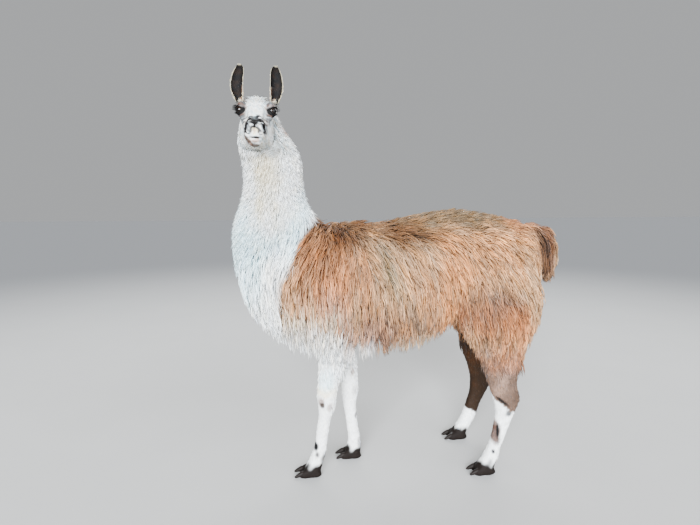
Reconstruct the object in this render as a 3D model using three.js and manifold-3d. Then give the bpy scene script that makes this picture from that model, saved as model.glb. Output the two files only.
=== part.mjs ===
// A standing adult llama in full fleece, its head turned a quarter left: head, lower jaw, ears, eyes, neck, trunk,
// tail and four legs, each leg in an upper part, a lower part, a two-toed foot and two nails.
// Millimetres, +Z up, origin on the floor under the middle of the animal. The trunk faces -X, its left side -Y.
// Every solid reaches out to the tips of the coat.

import * as THREE from "three";
import { mergeVertices } from "three/addons/utils/BufferGeometryUtils.js";
import Module from "manifold-3d";

const wasm = await Module();
wasm.setup();

// ---------------------------------------------------------------------------------------------------------------
// Driving dimensions
// ---------------------------------------------------------------------------------------------------------------

const GAP = 0.5; // left between neighbouring pieces
const SLIVER = 0.2; // details smaller than this are merged away after a cut
const CUTTER = 4000; // side of the blocks that cut the whole body into pieces

const WITHERS = 1121; // height of the back line over the shoulders, fleece included
const CROUP = 1170; // highest point of the back line, over the loin
const GIRTH_HALF = 264; // half the width of the barrel, fleece included

const NECK_CUT = { x: -545, z: 1012, slope: 0.62 }; // plane from the withers down to the breast

const HEAD_X = -614; // middle plane of the head, which faces -Y
const HEAD_ROLL = THREE.MathUtils.degToRad(1.5); // its left side hangs a little lower
const HEAD_PIVOT = new THREE.Vector3(HEAD_X, -90, 1510);

const EYE = { radius: 18, side: 60, forward: 131, z: 1552 };
const EAR = { length: 158, width: 52, thickness: 5, side: 68, forward: 32, z: 1596 };
const MOUTH = { z: 1438, back: 205, slot: 1.2 };
const NOSTRIL = { side: 23, forward: 268, z: 1477 };

const TOE_SPACING = 17; // from the middle of the foot to the middle of a toe
const TOE_SPLAY = THREE.MathUtils.degToRad(4);
const FETLOCK_Z = 74; // where each foot is parted from its leg
const STIFLE_SET_BACK = 34; // how much further back the front of the right thigh starts

const TINT = {
  white: 0xeeebe4,
  cream: 0xe3d8c6,
  caramel: 0xb98560,
  russet: 0x9c6444,
  grey_brown: 0x8a7468,
  dark: 0x2b2624,
  horn: 0x3a332e,
};

// ---------------------------------------------------------------------------------------------------------------
// Sections, each a named place on the animal
// ---------------------------------------------------------------------------------------------------------------

// Upright sections of the trunk from breast to buttock: the back line, the fleece's lower edge, half the width.
const TRUNK = [
  { x: -706, top: 975, hem: 850, half: 62, skirt: 2.1 }, // front of the breast
  { x: -660, top: 1030, hem: 722, half: 140, skirt: 2.2 },
  { x: -575, top: 1072, hem: 622, half: 188, skirt: 2.4 }, // point of the shoulder
  { x: -470, top: 1100, hem: 545, half: 222, skirt: 2.8 },
  { x: -340, top: WITHERS, hem: 506, half: 245, skirt: 3.2 }, // withers and elbow
  { x: -215, top: WITHERS + 2, hem: 504, half: 258, skirt: 3.2 },
  { x: -95, top: WITHERS - 5, hem: 538, half: GIRTH_HALF, skirt: 3.1 },
  { x: 30, top: 1140, hem: 556, half: GIRTH_HALF + 4, skirt: 3 },
  { x: 130, top: 1158, hem: 600, half: GIRTH_HALF, skirt: 2.8 }, // flank
  { x: 225, top: CROUP, hem: 672, half: GIRTH_HALF - 8, skirt: 2.5 },
  { x: 355, top: 1156, hem: 712, half: 246, skirt: 2.2 }, // croup
  { x: 470, top: 1131, hem: 716, half: 222, skirt: 2.2 },
  { x: 555, top: 1104, hem: 722, half: 176, skirt: 2.1 }, // root of the tail
  { x: 598, top: 1058, hem: 752, half: 122, skirt: 2 },
  { x: 618, top: 970, hem: 830, half: 58, skirt: 2 }, // buttock
];

// Level sections of the neck and breast, from inside the chest to behind the ears.
const NECK = [
  { z: 640, front: -600, back: -400, y: 0, half: 80 },
  { z: 730, front: -668, back: -390, y: 0, half: 128 },
  { z: 850, front: -706, back: -375, y: 0, half: 158 },
  { z: 950, front: -730, back: -362, y: 0, half: 163 },
  { z: 1040, front: -738, back: -356, y: 0, half: 156 },
  { z: 1125, front: -724, back: -374, y: 0, half: 140 }, // base of the neck
  { z: 1205, front: -698, back: -410, y: -1, half: 124 },
  { z: 1290, front: -685, back: -422, y: -3, half: 116 },
  { z: 1370, front: -690, back: -430, y: -6, half: 114 },
  { z: 1430, front: -694, back: -456, y: -8, half: 108 }, // throat
  { z: 1490, front: -690, back: -497, y: 0, half: 92 },
  { z: 1545, front: -668, back: -531, y: 12, half: 68 },
  { z: 1582, front: -640, back: -566, y: 20, half: 36 }, // nape
];

// Upright sections of the head, counted forward from the neck, and how boxy the crown and the jaw are in each.
const HEAD = [
  { forward: -32, top: 1585, bottom: 1490, half: 40, crown: 2, jaw: 2 }, // nape
  { forward: -5, top: 1616, bottom: 1428, half: 66, crown: 2.3, jaw: 2.2 },
  { forward: 40, top: 1630, bottom: 1399, half: 71, crown: 2.5, jaw: 2.5 }, // poll, between the ears
  { forward: 85, top: 1621, bottom: 1394, half: 72, crown: 2.8, jaw: 2.7 }, // forehead and cheeks
  { forward: 128, top: 1598, bottom: 1396, half: 69, crown: 2.9, jaw: 2.7 }, // eyes
  { forward: 165, top: 1561, bottom: 1402, half: 57, crown: 2.5, jaw: 2.5 },
  { forward: 205, top: 1528, bottom: 1408, half: 46, crown: 2.4, jaw: 2.3 }, // bridge of the nose
  { forward: 242, top: 1506, bottom: 1414, half: 41, crown: 2.5, jaw: 2.3 },
  { forward: 264, top: 1493, bottom: 1423, half: 37, crown: 2.5, jaw: 2.3 }, // nostrils and lips
  { forward: 277, top: 1479, bottom: 1437, half: 26, crown: 2.3, jaw: 2.2 },
];

// Sections across the tail along its bend, from inside the rump to the tip of the brush.
const TAIL = [
  { x: 540, z: 1072, thick: 30, half: 42 },
  { x: 602, z: 1072, thick: 37, half: 52 },
  { x: 650, z: 1047, thick: 41, half: 57 },
  { x: 676, z: 995, thick: 42, half: 57 },
  { x: 685, z: 935, thick: 36, half: 50 },
  { x: 687, z: 884, thick: 24, half: 33 },
  { x: 686, z: 846, thick: 8, half: 12 },
];

// Upright sections of a toe, counted forward from its heel, the nail's in the same count.
const TOE = [
  { forward: 0, top: 22, bottom: 6, half: 11 },
  { forward: 16, top: 38, bottom: -6, half: 17 },
  { forward: 48, top: 44, bottom: -6, half: 18 },
  { forward: 76, top: 34, bottom: -6, half: 16 },
  { forward: 94, top: 20, bottom: 2, half: 9 },
];
const NAIL = [
  { forward: 64, top: 27, bottom: 15, half: 6 },
  { forward: 80, top: 31, bottom: 9, half: 10 },
  { forward: 100, top: 21, bottom: 3, half: 8 },
  { forward: 116, top: 9, bottom: 2, half: 2.5 },
];

// Level sections of the legs. front and back are the outline seen from the side, half the half width across.
// The left side is stated with y away from the middle; each leg of a pair stands in its own place.
const THIGH = [
  { z: 965, front: 330, back: 490, y: 118, half: 70 },
  { z: 905, front: 275, back: 552, y: 128, half: 108 },
  { z: 830, front: 228, back: 590, y: 138, half: 124 },
  { z: 735, front: 208, back: 592, y: 144, half: 120 }, // stifle, level with the flank
  { z: 645, front: 230, back: 574, y: 148, half: 106 },
  { z: 585, front: 266, back: 556, y: 151, half: 92 },
  { z: 530, front: 300, back: 536, y: 152, half: 74 }, // hem of the breeches
  { z: 490, front: 322, back: 514, y: 152, half: 60 },
];

const HIND_LEFT = [
  { z: 560, front: 330, back: 500, y: 152, half: 62 },
  { z: 500, front: 326, back: 508, y: 152, half: 58 },
  { z: 455, front: 340, back: 494, y: 152, half: 49 }, // gaskin
  { z: 410, front: 356, back: 490, y: 151, half: 42 },
  { z: 370, front: 371, back: 500, y: 150, half: 40 },
  { z: 342, front: 382, back: 506, y: 150, half: 40 }, // point of the hock
  { z: 310, front: 391, back: 498, y: 150, half: 38 },
  { z: 275, front: 396, back: 482, y: 150, half: 33 },
  { z: 225, front: 392, back: 468, y: 150, half: 29 },
  { z: 165, front: 380, back: 452, y: 150, half: 28 }, // cannon
  { z: 110, front: 362, back: 436, y: 150, half: 30 }, // fetlock
  { z: 75, front: 343, back: 422, y: 150, half: 32 },
  { z: 40, front: 318, back: 404, y: 150, half: 32 },
  { z: 22, front: 305, back: 398, y: 150, half: 30 },
];

const HIND_RIGHT = [
  { z: 560, front: 330, back: 500, y: 158, half: 62 },
  { z: 500, front: 338, back: 504, y: 163, half: 58 },
  { z: 455, front: 354, back: 498, y: 168, half: 49 },
  { z: 405, front: 374, back: 500, y: 173, half: 42 },
  { z: 360, front: 390, back: 508, y: 177, half: 40 },
  { z: 322, front: 400, back: 513, y: 181, half: 40 }, // point of the hock
  { z: 285, front: 403, back: 506, y: 184, half: 38 },
  { z: 245, front: 402, back: 489, y: 186, half: 33 },
  { z: 200, front: 391, back: 468, y: 188, half: 29 },
  { z: 145, front: 374, back: 448, y: 189, half: 28 }, // cannon
  { z: 100, front: 356, back: 430, y: 189, half: 30 }, // fetlock
  { z: 70, front: 338, back: 414, y: 189, half: 32 },
  { z: 40, front: 314, back: 398, y: 189, half: 32 },
  { z: 22, front: 300, back: 390, y: 189, half: 30 },
];

const FORE_LEFT = [
  { z: 660, front: -372, back: -236, y: 100, half: 56 },
  { z: 560, front: -374, back: -252, y: 96, half: 54 }, // forearm
  { z: 490, front: -378, back: -266, y: 90, half: 50 },
  { z: 425, front: -384, back: -285, y: 84, half: 44 },
  { z: 382, front: -388, back: -294, y: 79, half: 43 },
  { z: 350, front: -386, back: -298, y: 76, half: 43 }, // knee
  { z: 315, front: -381, back: -303, y: 74, half: 39 },
  { z: 275, front: -379, back: -318, y: 72, half: 32 },
  { z: 215, front: -386, back: -330, y: 71, half: 27 },
  { z: 155, front: -391, back: -338, y: 70, half: 27 }, // cannon
  { z: 110, front: -401, back: -344, y: 70, half: 29 }, // fetlock
  { z: 75, front: -418, back: -352, y: 70, half: 32 },
  { z: 42, front: -436, back: -362, y: 70, half: 32 },
  { z: 22, front: -446, back: -368, y: 70, half: 30 },
];

const FORE_RIGHT = [
  { z: 660, front: -330, back: -196, y: 100, half: 56 },
  { z: 560, front: -318, back: -198, y: 97, half: 54 },
  { z: 490, front: -302, back: -192, y: 92, half: 50 },
  { z: 420, front: -281, back: -184, y: 86, half: 44 },
  { z: 375, front: -272, back: -180, y: 81, half: 43 },
  { z: 340, front: -266, back: -179, y: 78, half: 43 }, // knee
  { z: 305, front: -261, back: -184, y: 76, half: 39 },
  { z: 265, front: -255, back: -191, y: 74, half: 32 },
  { z: 210, front: -245, back: -188, y: 72, half: 27 },
  { z: 150, front: -237, back: -182, y: 71, half: 27 }, // cannon
  { z: 108, front: -232, back: -174, y: 70, half: 29 }, // fetlock
  { z: 75, front: -233, back: -168, y: 70, half: 32 },
  { z: 42, front: -241, back: -168, y: 70, half: 32 },
  { z: 22, front: -246, back: -170, y: 70, half: 30 },
];

const LEGS = [
  { name: "foreleg_left", foot: "forefoot_left", nail: "forenail_left", side: -1, sections: FORE_LEFT, part: 372 },
  { name: "foreleg_right", foot: "forefoot_right", nail: "forenail_right", side: 1, sections: FORE_RIGHT, part: 362 },
  {
    name: "hindleg_left",
    foot: "hindfoot_left",
    nail: "hindnail_left",
    side: -1,
    sections: HIND_LEFT,
    part: 470,
    thigh: THIGH,
  },
  {
    name: "hindleg_right",
    foot: "hindfoot_right",
    nail: "hindnail_right",
    side: 1,
    sections: HIND_RIGHT,
    part: 470,
    thigh: THIGH.map((row) => ({ ...row, front: row.front + (row.z < 830 ? STIFLE_SET_BACK : 0) })),
  },
];

// ---------------------------------------------------------------------------------------------------------------
// Tools: smooth tables, rings, closed solids
// ---------------------------------------------------------------------------------------------------------------

// Slope at each row of one column, which never lets the curve overshoot its rows.
function slopes(rows, key, column) {
  const rise = rows.slice(1).map((row, i) => (row[column] - rows[i][column]) / (row[key] - rows[i][key]));
  return rows.map((_, i) => {
    const before = rise[Math.max(i - 1, 0)];
    const after = rise[Math.min(i, rise.length - 1)];
    return before * after <= 0 ? 0 : (2 * before * after) / (before + after);
  });
}

// `count` rows spread evenly along `key`, every other column following a smooth curve through the given rows.
function smoothRows(rows, key, count) {
  const columns = Object.keys(rows[0]).filter((column) => column !== key);
  const tangents = Object.fromEntries(columns.map((column) => [column, slopes(rows, key, column)]));
  const first = rows[0][key];
  const last = rows.at(-1)[key];
  return Array.from({ length: count }, (_, n) => {
    const at = first + ((last - first) * n) / (count - 1);
    const forwards = Math.sign(last - first);
    let i = rows.findIndex((row, k) => k > 0 && forwards * (row[key] - at) >= -1e-6) - 1;
    if (i < 0) i = rows.length - 2;
    const step = rows[i + 1][key] - rows[i][key];
    const t = (at - rows[i][key]) / step;
    const made = { [key]: at };
    for (const column of columns) {
      const [from, to] = [rows[i][column], rows[i + 1][column]];
      const [leaving, arriving] = [tangents[column][i] * step, tangents[column][i + 1] * step];
      const ease = 3 * t ** 2 - 2 * t ** 3;
      made[column] = from + (to - from) * ease + leaving * (t ** 3 - 2 * t ** 2 + t) + arriving * (t ** 3 - t ** 2);
    }
    return made;
  });
}

// One ring round a centre, its halves above and below each with their own height and squareness.
function ring({ centre, across, up, half, above, below, squareAbove = 2, squareBelow = squareAbove }, around) {
  return Array.from({ length: around }, (_, k) => {
    const angle = (2 * Math.PI * (k + 0.5)) / around;
    const [c, s] = [Math.cos(angle), Math.sin(angle)];
    const power = 2 / (s > 0 ? squareAbove : squareBelow);
    const a = half * Math.sign(c) * Math.abs(c) ** power;
    const b = (s > 0 ? above : below) * Math.sign(s) * Math.abs(s) ** power;
    return centre.clone().addScaledVector(across, a).addScaledVector(up, b);
  });
}

// A closed solid through rings with the same number of points. The ends, pushed out by `grow`, are closed by strips
// from side to side.
function loft(rings, grow = 0) {
  const around = rings[0].length;
  const middle = (points) => points.reduce((sum, point) => sum.add(point), new THREE.Vector3()).divideScalar(around);
  for (const [end, next] of [
    [rings[0], rings[1]],
    [rings.at(-1), rings.at(-2)],
  ]) {
    const outwards = middle(end).sub(middle(next)).normalize();
    for (const point of end) point.addScaledVector(outwards, grow);
  }
  const last = (rings.length - 1) * around;
  const faces = [];
  const quad = (a, b, c, d) => faces.push(a, b, c, a, c, d);
  rings.slice(1).forEach((_, i) => {
    for (let k = 0; k < around; k++) {
      const [a, b] = [i * around + k, i * around + ((k + 1) % around)];
      quad(a, b, b + around, a + around);
    }
  });
  for (let k = 0; k < around / 2 - 1; k++) {
    const [a, b, c, d] = [k, k + 1, around - 2 - k, around - 1 - k];
    quad(d, c, b, a);
    quad(last + a, last + b, last + c, last + d);
  }
  const geometry = new THREE.BufferGeometry().setFromPoints(rings.flat());
  geometry.setIndex(faces);
  return solid(geometry);
}

// A manifold solid from a closed three.js geometry, turned inside in if its faces point inwards.
function solid(geometry) {
  const bare = geometry.clone();
  bare.deleteAttribute("normal");
  bare.deleteAttribute("uv");
  const merged = mergeVertices(bare, 1e-3);
  const triVerts = new Uint32Array(merged.index.array);
  const vertProperties = merged.attributes.position.array;
  const made = new wasm.Manifold(new wasm.Mesh({ numProp: 3, vertProperties, triVerts }));
  if (made.volume() > 0) return made;
  return new wasm.Manifold(new wasm.Mesh({ numProp: 3, vertProperties, triVerts: triVerts.reverse() }));
}

// The solid as a three.js geometry.
function geometryOf(manifold) {
  const { vertProperties, triVerts } = manifold.getMesh();
  const geometry = new THREE.BufferGeometry();
  geometry.setAttribute("position", new THREE.BufferAttribute(vertProperties, 3));
  geometry.setIndex(Array.from(triVerts));
  geometry.computeVertexNormals();
  return geometry;
}

function ellipsoid(size, centre, turn = new THREE.Euler(), segments = 14) {
  const geometry = new THREE.SphereGeometry(1, segments, Math.round(segments * 0.7));
  const place = new THREE.Matrix4().compose(centre, new THREE.Quaternion().setFromEuler(turn), size);
  return solid(geometry.applyMatrix4(place));
}

// The half space past a point along a direction, as a large block, GAP / 2 away from the plane.
function beyond(point, direction) {
  const normal = direction.clone().normalize();
  const turn = new THREE.Quaternion().setFromUnitVectors(new THREE.Vector3(0, 0, 1), normal);
  const centre = point.clone().addScaledVector(normal, CUTTER / 2 + GAP / 2);
  const place = new THREE.Matrix4().compose(centre, turn, new THREE.Vector3(1, 1, 1));
  return solid(new THREE.BoxGeometry(CUTTER, CUTTER, CUTTER).applyMatrix4(place));
}

// The largest body of a cut, without the slivers the cut left along its edges.
const bigger = (manifold) => manifold.simplify(SLIVER).decompose().sort((a, b) => b.volume() - a.volume())[0];

const X = new THREE.Vector3(1, 0, 0);
const Y = new THREE.Vector3(0, 1, 0);
const Z = new THREE.Vector3(0, 0, 1);

// ---------------------------------------------------------------------------------------------------------------
// Body parts, each grown outwards by `grow` where a neighbour is cut to clear it
// ---------------------------------------------------------------------------------------------------------------

function trunkSolid(grow = 0) {
  const WIDEST = 0.5; // the barrel is widest half way up
  const rings = smoothRows(TRUNK, "x", 23).map(({ x, top, hem, half, skirt }) => {
    const middle = hem + (top - hem) * WIDEST;
    return ring(
      {
        centre: new THREE.Vector3(x, 0, middle),
        across: Y,
        up: Z,
        half: half + grow,
        above: top - middle + grow,
        below: middle - hem + grow,
        squareAbove: 2.25,
        squareBelow: skirt,
      },
      24,
    );
  });
  return loft(rings, grow);
}

// Level rings, as the neck and the legs have.
function levelRings(rows, count, around, side, grow, square = 2.1) {
  return smoothRows(rows, "z", count).map(({ z, front, back, y, half }) =>
    ring(
      {
        centre: new THREE.Vector3((front + back) / 2, side * y, z),
        across: Y,
        up: X,
        half: half + grow,
        above: (back - front) / 2 + grow,
        below: (back - front) / 2 + grow,
        squareAbove: square,
      },
      around,
    ),
  );
}

const neckSolid = (grow = 0) => loft(levelRings(NECK, 15, 22, 1, grow), grow);

function headSolid(grow = 0) {
  const rings = smoothRows(HEAD, "forward", 15).map(({ forward, top, bottom, half, crown, jaw }) =>
    ring(
      {
        centre: new THREE.Vector3(HEAD_X, -forward, (top + bottom) / 2),
        across: X,
        up: Z,
        half: half + grow,
        above: (top - bottom) / 2 + grow,
        below: (top - bottom) / 2 + grow,
        squareAbove: crown,
        squareBelow: jaw,
      },
      22,
    ),
  );
  // The brow stands out over each eye.
  const brow = (side) =>
    ellipsoid(
      new THREE.Vector3(19 + grow, 34 + grow, 13 + grow),
      new THREE.Vector3(HEAD_X + side * 58, -EYE.forward + 8, EYE.z + 23),
      new THREE.Euler(0.22, side * 0.35, -side * 0.35),
      8,
    );
  return wasm.Manifold.union([loft(rings, grow), brow(-1), brow(1)]);
}

function tailSolid(grow = 0) {
  const path = new THREE.CatmullRomCurve3(TAIL.map(({ x, z }) => new THREE.Vector3(x, 0, z)));
  const rows = smoothRows(
    TAIL.map(({ thick, half }, at) => ({ at, thick, half })),
    "at",
    11,
  );
  return loft(
    rows.map(({ at, thick, half }) => {
      const along = at / (TAIL.length - 1);
      const across = path.getTangent(along).cross(Y);
      const size = { half: half + grow, above: thick + grow, below: thick + grow };
      return ring({ centre: path.getPoint(along), across: Y, up: across, ...size }, 14);
    }),
    grow,
  );
}

// A cupped leaf, widest near its middle, its tip leaning inwards. The hollow faces forward and a little outwards.
function earSolid(side, grow = 0) {
  const WIDTHS = [
    { at: 0, wide: 0.5, cup: 2.2 },
    { at: 0.15, wide: 0.76, cup: 1.9 },
    { at: 0.4, wide: 1, cup: 1.45 },
    { at: 0.65, wide: 0.93, cup: 1.3 },
    { at: 0.85, wide: 0.62, cup: 1.2 },
    { at: 0.95, wide: 0.34, cup: 1.1 },
    { at: 1, wide: 0.14, cup: 1 },
  ];
  const EDGE = 6; // points along each face of a section
  const OPENS = 0.28; // how far the hollow turns outwards, in radians
  const rings = smoothRows(WIDTHS, "at", 11).map(({ at, wide, cup }) => {
    const halfWidth = (EAR.width / 2) * wide;
    const radius = halfWidth / Math.sin(Math.min(cup, Math.PI / 2));
    const lean = side * (13 * Math.sin(Math.PI * Math.min(at * 1.1, 1)) + 4 * at);
    const centre = new THREE.Vector3(side * EAR.side + lean, 14 * at - EAR.forward, EAR.length * at - 6);
    centre.add(new THREE.Vector3(HEAD_X, 0, EAR.z));
    const edge = (thick, from, to) =>
      Array.from({ length: EDGE }, (_, k) => {
        const angle = from + ((to - from) * k) / (EDGE - 1);
        const r = radius + thick;
        const [c, s] = [Math.sin(angle) * r, (Math.cos(angle) - Math.cos(cup)) * r];
        const turned = new THREE.Vector3(c, s, 0).applyAxisAngle(Z, side * OPENS);
        return centre.clone().add(turned);
      });
    return [...edge(EAR.thickness / 2 + grow, -cup, cup), ...edge(-EAR.thickness / 2 - grow, cup, -cup)];
  });
  return loft(rings, grow);
}

const rolled = (manifold) => {
  const place = new THREE.Matrix4()
    .makeTranslation(HEAD_PIVOT)
    .multiply(new THREE.Matrix4().makeRotationY(HEAD_ROLL))
    .multiply(new THREE.Matrix4().makeTranslation(HEAD_PIVOT.clone().negate()));
  return manifold.transform(place.elements);
};

// Two toes side by side, flat on the floor, with the pastern that joins them to the leg.
function footSolid(leg, grow = 0) {
  const toes = [-1, 1].map((lane) => toeLoft(leg, lane, TOE, 10, grow));
  const pastern = loft(levelRings(leg.sections.slice(-4), 5, 12, leg.side, grow), grow);
  return wasm.Manifold.union([...toes, pastern]);
}

const nailSolid = (leg, lane, grow = 0) => toeLoft(leg, lane, NAIL, 6, grow);

// Sections along one toe, splayed a little from the middle of the foot.
function toeLoft(leg, lane, sections, around, grow) {
  const ground = leg.sections.at(-1);
  const heel = new THREE.Vector3(ground.back - 4, leg.side * ground.y, 0);
  return loft(
    sections.map(({ forward, top, bottom, half }) => {
      const centre = new THREE.Vector3(-forward, lane * TOE_SPACING, (top + bottom) / 2);
      centre.applyAxisAngle(Z, -lane * TOE_SPLAY);
      const size = { half: half + grow, above: (top - bottom) / 2 + grow, below: (top - bottom) / 2 + grow };
      return ring({ centre: centre.add(heel), across: Y, up: Z, ...size, squareAbove: 2.3 }, around);
    }),
    grow,
  );
}

// ---------------------------------------------------------------------------------------------------------------
// Cutting the body into its named pieces
// ---------------------------------------------------------------------------------------------------------------

const pieces = {};
const floor = beyond(new THREE.Vector3(0, 0, GAP / 2), Z.clone().negate());
const above = (z) => beyond(new THREE.Vector3(0, 0, z), Z);
const below = (z) => beyond(new THREE.Vector3(0, 0, z), Z.clone().negate());

const neckNormal = new THREE.Vector3(-NECK_CUT.slope, 0, 1);
const neckPlane = new THREE.Vector3(NECK_CUT.x, 0, NECK_CUT.z);

const legs = LEGS.map((leg) => {
  const shaft = loft(levelRings(leg.sections.slice(0, -1), 16, 12, leg.side, 0));
  if (!leg.thigh) return { ...leg, whole: shaft };
  const thigh = (grow) => loft(levelRings(leg.thigh, 10, 18, leg.side, grow, 2.2), grow);
  return { ...leg, whole: shaft.add(thigh(0)), grownThigh: thigh(GAP) };
});

// The trunk makes room for the tail and thighs, and ends where the neck starts.
const head = rolled(headSolid());
const chest = trunkSolid().add(neckSolid());
let trunk = chest.intersect(beyond(neckPlane, neckNormal.clone().negate())).subtract(tailSolid(GAP));
for (const leg of legs.filter(({ grownThigh }) => grownThigh)) trunk = trunk.subtract(leg.grownThigh);
pieces.trunk = bigger(trunk);
pieces.tail = bigger(tailSolid());

// The neck runs from the withers plane up to the throat plane, clear of the head.
const neck = neckSolid().add(trunkSolid());
pieces.neck = bigger(neck.intersect(beyond(neckPlane, neckNormal)).subtract(rolled(headSolid(GAP))));

// The head, with sockets for the eyes, nostrils and a mouth that parts the lower jaw.
const eyeCentre = (side) => new THREE.Vector3(HEAD_X + side * EYE.side, -EYE.forward, EYE.z);
const eye = (side, grow = 0) =>
  rolled(ellipsoid(new THREE.Vector3(1, 1, 1).multiplyScalar(EYE.radius + grow), eyeCentre(side), undefined, 10));
const nostril = (side) =>
  rolled(
    ellipsoid(
      new THREE.Vector3(4, 9, 15),
      new THREE.Vector3(HEAD_X + side * NOSTRIL.side, -NOSTRIL.forward, NOSTRIL.z),
      new THREE.Euler(0.5, 0, side * 0.75),
      7,
    ),
  );
const mouthSlot = rolled(
  solid(
    new THREE.BoxGeometry(200, 200, MOUTH.slot).applyMatrix4(
      new THREE.Matrix4().makeTranslation(HEAD_X, -MOUTH.back - 100, MOUTH.z),
    ),
  ),
);
const jawBack = rolled(
  solid(
    new THREE.BoxGeometry(200, MOUTH.slot, 100).applyMatrix4(
      new THREE.Matrix4().makeTranslation(HEAD_X, -MOUTH.back, MOUTH.z - 50 + MOUTH.slot / 2),
    ),
  ),
);
let face = head;
for (const side of [-1, 1]) face = face.subtract(eye(side, GAP)).subtract(nostril(side));
const [skull, jaw] = face
  .subtract(mouthSlot)
  .subtract(jawBack)
  .decompose()
  .sort((a, b) => b.volume() - a.volume());
pieces.head = bigger(skull);
pieces.lower_jaw = bigger(jaw);

for (const [name, side] of [
  ["left", 1],
  ["right", -1],
]) {
  pieces[`eye_${name}`] = eye(side);
  pieces[`ear_${name}`] = bigger(rolled(earSolid(side)).subtract(rolled(headSolid(GAP))).subtract(neckSolid(GAP)));
}

// Each leg: an upper part down to its parting line, a lower part to the fetlock, a foot and two nails.
const trunkClearance = trunkSolid(GAP);
for (const leg of legs) {
  const upper = leg.whole.intersect(above(leg.part));
  pieces[`${leg.name}_upper`] = bigger(leg.thigh ? upper.subtract(tailSolid(GAP)) : upper.subtract(trunkClearance));
  const lower = leg.whole.intersect(below(leg.part)).intersect(above(FETLOCK_Z));
  pieces[`${leg.name}_lower`] = bigger(lower.subtract(trunkClearance));
  pieces[leg.foot] = bigger(footSolid(leg).intersect(below(FETLOCK_Z)).subtract(floor));
  for (const [name, lane] of [
    ["inner", -leg.side],
    ["outer", leg.side],
  ])
    pieces[`${leg.nail}_${name}`] = bigger(nailSolid(leg, lane).subtract(footSolid(leg, GAP)));
}

// ---------------------------------------------------------------------------------------------------------------
// The scene graph: each limb is a group that hangs from its own joint, and its meshes are stated from there
// ---------------------------------------------------------------------------------------------------------------

const finish = (color, roughness = 0.85) => new THREE.MeshStandardMaterial({ color, roughness, metalness: 0 });

const MATERIALS = [
  [/^(head|neck|lower_jaw)$/, finish(TINT.white)],
  [/^foreleg/, finish(TINT.white)],
  [/^trunk$/, finish(TINT.caramel)],
  [/^tail$/, finish(TINT.russet)],
  [/^hindleg_.*_upper$/, finish(TINT.caramel)],
  [/^hindleg_.*_lower$/, finish(TINT.grey_brown)],
  [/foot_/, finish(TINT.dark)],
  [/nail_/, finish(TINT.horn, 0.5)],
  [/^ear_/, finish(TINT.cream)],
  [/^eye_/, finish(TINT.dark, 0.1)],
];

const llama = new THREE.Group();
llama.name = "llama";

function limb(name, joint, roll = 0) {
  const group = new THREE.Group();
  group.name = name;
  group.position.copy(joint);
  group.rotation.y = roll;
  llama.add(group);
  group.updateMatrixWorld(true);
  return group;
}

// A mesh for each piece whose name fits, moved from the body's frame into the group's own.
function hang(group, pattern) {
  const toGroup = group.matrixWorld.clone().invert();
  for (const [name, manifold] of Object.entries(pieces).filter(([key]) => pattern.test(key))) {
    const [, material] = MATERIALS.find(([kind]) => kind.test(name));
    const mesh = new THREE.Mesh(geometryOf(manifold).applyMatrix4(toGroup), material);
    mesh.name = name;
    group.add(mesh);
  }
}

hang(llama, /^(trunk|neck)$/);
hang(limb("head_group", HEAD_PIVOT, HEAD_ROLL), /^(head|lower_jaw|eye_|ear_)/);
hang(limb("tail_group", new THREE.Vector3(TAIL[0].x, 0, TAIL[0].z)), /^tail$/);
for (const leg of legs) {
  const hip = leg.sections[0];
  const joint = new THREE.Vector3((hip.front + hip.back) / 2, leg.side * hip.y, hip.z);
  hang(limb(`${leg.name}_group`, joint), new RegExp(`^(${leg.name}|${leg.foot}|${leg.nail})`));
}

export default llama;
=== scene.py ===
"""A llama standing still: skin, coat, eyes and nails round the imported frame, in a plain studio.

Functions take and give metres, unless they say millimetres.
"""

import logging
import math
from dataclasses import dataclass, field, replace
from enum import Enum
from functools import partial
from typing import Callable, Optional

import bpy
import numpy as np
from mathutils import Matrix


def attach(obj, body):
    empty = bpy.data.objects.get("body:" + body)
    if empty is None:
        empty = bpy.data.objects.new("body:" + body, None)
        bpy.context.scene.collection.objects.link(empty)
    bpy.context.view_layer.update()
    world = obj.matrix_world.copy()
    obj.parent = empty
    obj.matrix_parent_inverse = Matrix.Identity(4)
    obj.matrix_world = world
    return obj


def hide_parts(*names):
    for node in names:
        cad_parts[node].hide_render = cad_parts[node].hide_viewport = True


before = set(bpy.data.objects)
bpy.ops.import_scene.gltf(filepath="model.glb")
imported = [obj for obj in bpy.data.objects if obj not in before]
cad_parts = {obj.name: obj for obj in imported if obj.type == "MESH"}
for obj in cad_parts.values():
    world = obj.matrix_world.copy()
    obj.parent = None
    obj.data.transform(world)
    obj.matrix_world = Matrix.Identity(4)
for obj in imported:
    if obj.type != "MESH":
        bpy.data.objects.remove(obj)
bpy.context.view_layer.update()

import openvdb
from mathutils import Vector, kdtree

LOG = logging.getLogger("llama")

Array = np.ndarray
Pair = tuple[Array, Array]
Coordinates = tuple[Array, Array, Array]
Piece = bpy.types.Object
seeded = np.random.default_rng

MM = 0.001
FAR = 0.09  # distance written where no form is near, in metres
AROUND = 0.03  # how far round a form its distance is written, in metres
HEAD_ROLL = math.radians(1.5)
HEAD_PIVOT = np.array([-0.614, -0.09, 1.51])  # what the head rolls about, in metres


# ---------------------------------------------------------------- numbers and colours


def srgb(code: str) -> Array:
    """Turns a colour from sRGB hex to linear light."""
    value = np.array([int(code[k : k + 2], 16) / 255 for k in (0, 2, 4)])
    return np.where(value <= 0.04045, value / 12.92, ((value + 0.055) / 1.055) ** 2.4)


def rise(low: float, high: float, value: Array) -> Array:
    """Goes smoothly from 0 at low to 1 at high, or falls where high is under low."""
    t = np.clip((value - low) / (high - low), 0, 1)
    return t * t * (3 - 2 * t)


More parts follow.
